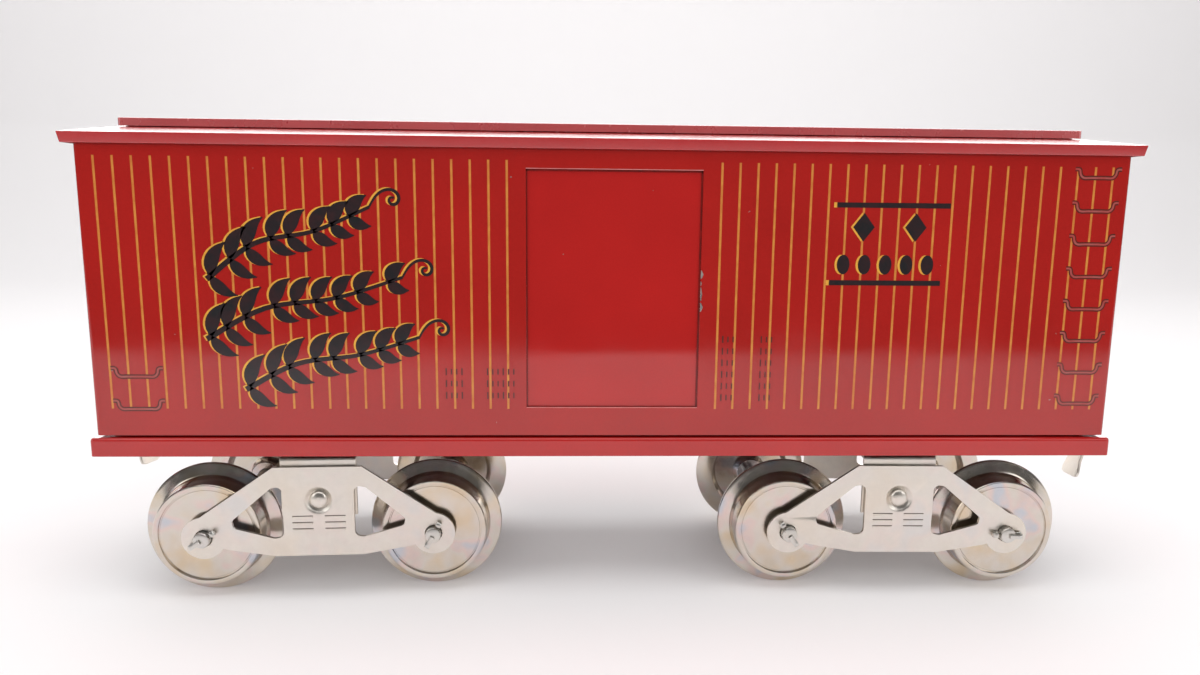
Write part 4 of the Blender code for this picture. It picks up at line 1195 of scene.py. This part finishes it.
# ---- operators ----------------------------------------------------------------------
class BOXCAR_OT_stage(bpy.types.Operator):
    """Set the camera, the lights and the pale floor"""
    bl_idname = "boxcar.stage"
    bl_label = "Stage"

    def execute(self, context):
        context.scene.view_settings.view_transform = "Standard"
        make_camera()
        make_world()
        stage_sheet()
        soft_light("Overhead", (0.0, -0.10, 0.95), (0.0, 0.0, 0.05), (1.3, 0.9), 6.2)
        soft_light("Left", (-0.95, -0.55, 0.55), (0.0, 0.0, 0.08), (0.7, 0.7), 2.8)
        soft_light("Right", (0.95, -0.55, 0.55), (0.0, 0.0, 0.08), (0.7, 0.7), 2.8)
        soft_light("Front", (0.0, -0.95, 0.45), (0.0, 0.0, 0.08), (1.2, 0.5), 3.0, False)
        soft_light("Backdrop", (0.0, 0.45, 1.1), (0.0, 1.35, 0.45), (3.6, 0.6), 9.0)
        soft_light("Roof shine", (0.0, 1.20, 0.62), (0.0, 0.0, 0.14), (3.0, 1.1), 36.0, True, True)
        return {"FINISHED"}


class BOXCAR_OT_sheets(bpy.types.Operator):
    """Make the sides, the ends, the doors and their guides"""
    bl_idname = "boxcar.sheets"
    bl_label = "Body sheets"

    def execute(self, context):
        make_sheets()
        return {"FINISHED"}


class BOXCAR_OT_roof(bpy.types.Operator):
    """Make the roof and the ridge walk"""
    bl_idname = "boxcar.roof"
    bl_label = "Roof"

    def execute(self, context):
        make_roof()
        return {"FINISHED"}


class BOXCAR_OT_sill(bpy.types.Operator):
    """Make the floor pan and its sill"""
    bl_idname = "boxcar.sill"
    bl_label = "Sill"

    def execute(self, context):
        make_sill()
        return {"FINISHED"}


class BOXCAR_OT_printing(bpy.types.Operator):
    """Print the pinstripes, grab irons, ornament and panel marks"""
    bl_idname = "boxcar.printing"
    bl_label = "Printing"

    def execute(self, context):
        print_pinstripes()
        print_grab_irons()
        print_emblem()
        print_panel_marks()
        print_doorway_line()
        doorway_scrape()
        return {"FINISHED"}


class BOXCAR_OT_trucks(bpy.types.Operator):
    """Make the bolsters, side frames, rivets and kingpins"""
    bl_idname = "boxcar.trucks"
    bl_label = "Trucks"

    def execute(self, context):
        make_trucks()
        return {"FINISHED"}


class BOXCAR_OT_couplers(bpy.types.Operator):
    """Make the drop-hook couplers"""
    bl_idname = "boxcar.couplers"
    bl_label = "Couplers"

    def execute(self, context):
        make_couplers()
        return {"FINISHED"}


class BOXCAR_OT_wheelsets(bpy.types.Operator):
    """Make the wheels, axles and cotters"""
    bl_idname = "boxcar.wheelsets"
    bl_label = "Wheelsets"

    def execute(self, context):
        make_wheelsets()
        return {"FINISHED"}


OPERATORS = (BOXCAR_OT_stage, BOXCAR_OT_sheets, BOXCAR_OT_roof, BOXCAR_OT_sill, BOXCAR_OT_printing,
             BOXCAR_OT_trucks, BOXCAR_OT_couplers, BOXCAR_OT_wheelsets)


class BOXCAR_PT_panel(bpy.types.Panel):
    """Box car pieces and their settings"""
    bl_idname = "BOXCAR_PT_panel"
    bl_label = "Box car"
    bl_space_type = "VIEW_3D"
    bl_region_type = "UI"
    bl_category = "Box car"

    def draw(self, context):
        for operator in OPERATORS:
            self.layout.operator(operator.bl_idname)
        for group in (context.scene.boxcar_sheets, context.scene.boxcar_printing, context.scene.boxcar_metal):
            box = self.layout.box()
            for key in group.__annotations__:
                box.prop(group, key)


SETTINGS = {"boxcar_sheets": BoxcarSheets, "boxcar_printing": BoxcarPrinting, "boxcar_metal": BoxcarMetal}


def register():
    for kind in (*SETTINGS.values(), *OPERATORS, BOXCAR_PT_panel):
        bpy.utils.register_class(kind)
    for name, kind in SETTINGS.items():
        setattr(bpy.types.Scene, name, PointerProperty(type=kind))


def unregister():
    for name in SETTINGS:
        delattr(bpy.types.Scene, name)
    for kind in (BOXCAR_PT_panel, *reversed(OPERATORS), *SETTINGS.values()):
        bpy.utils.unregister_class(kind)


def main():
    register()
    for operator in OPERATORS:
        family, name = operator.bl_idname.split(".")
        getattr(getattr(bpy.ops, family), name)()


if __name__ == "__main__":
    main()
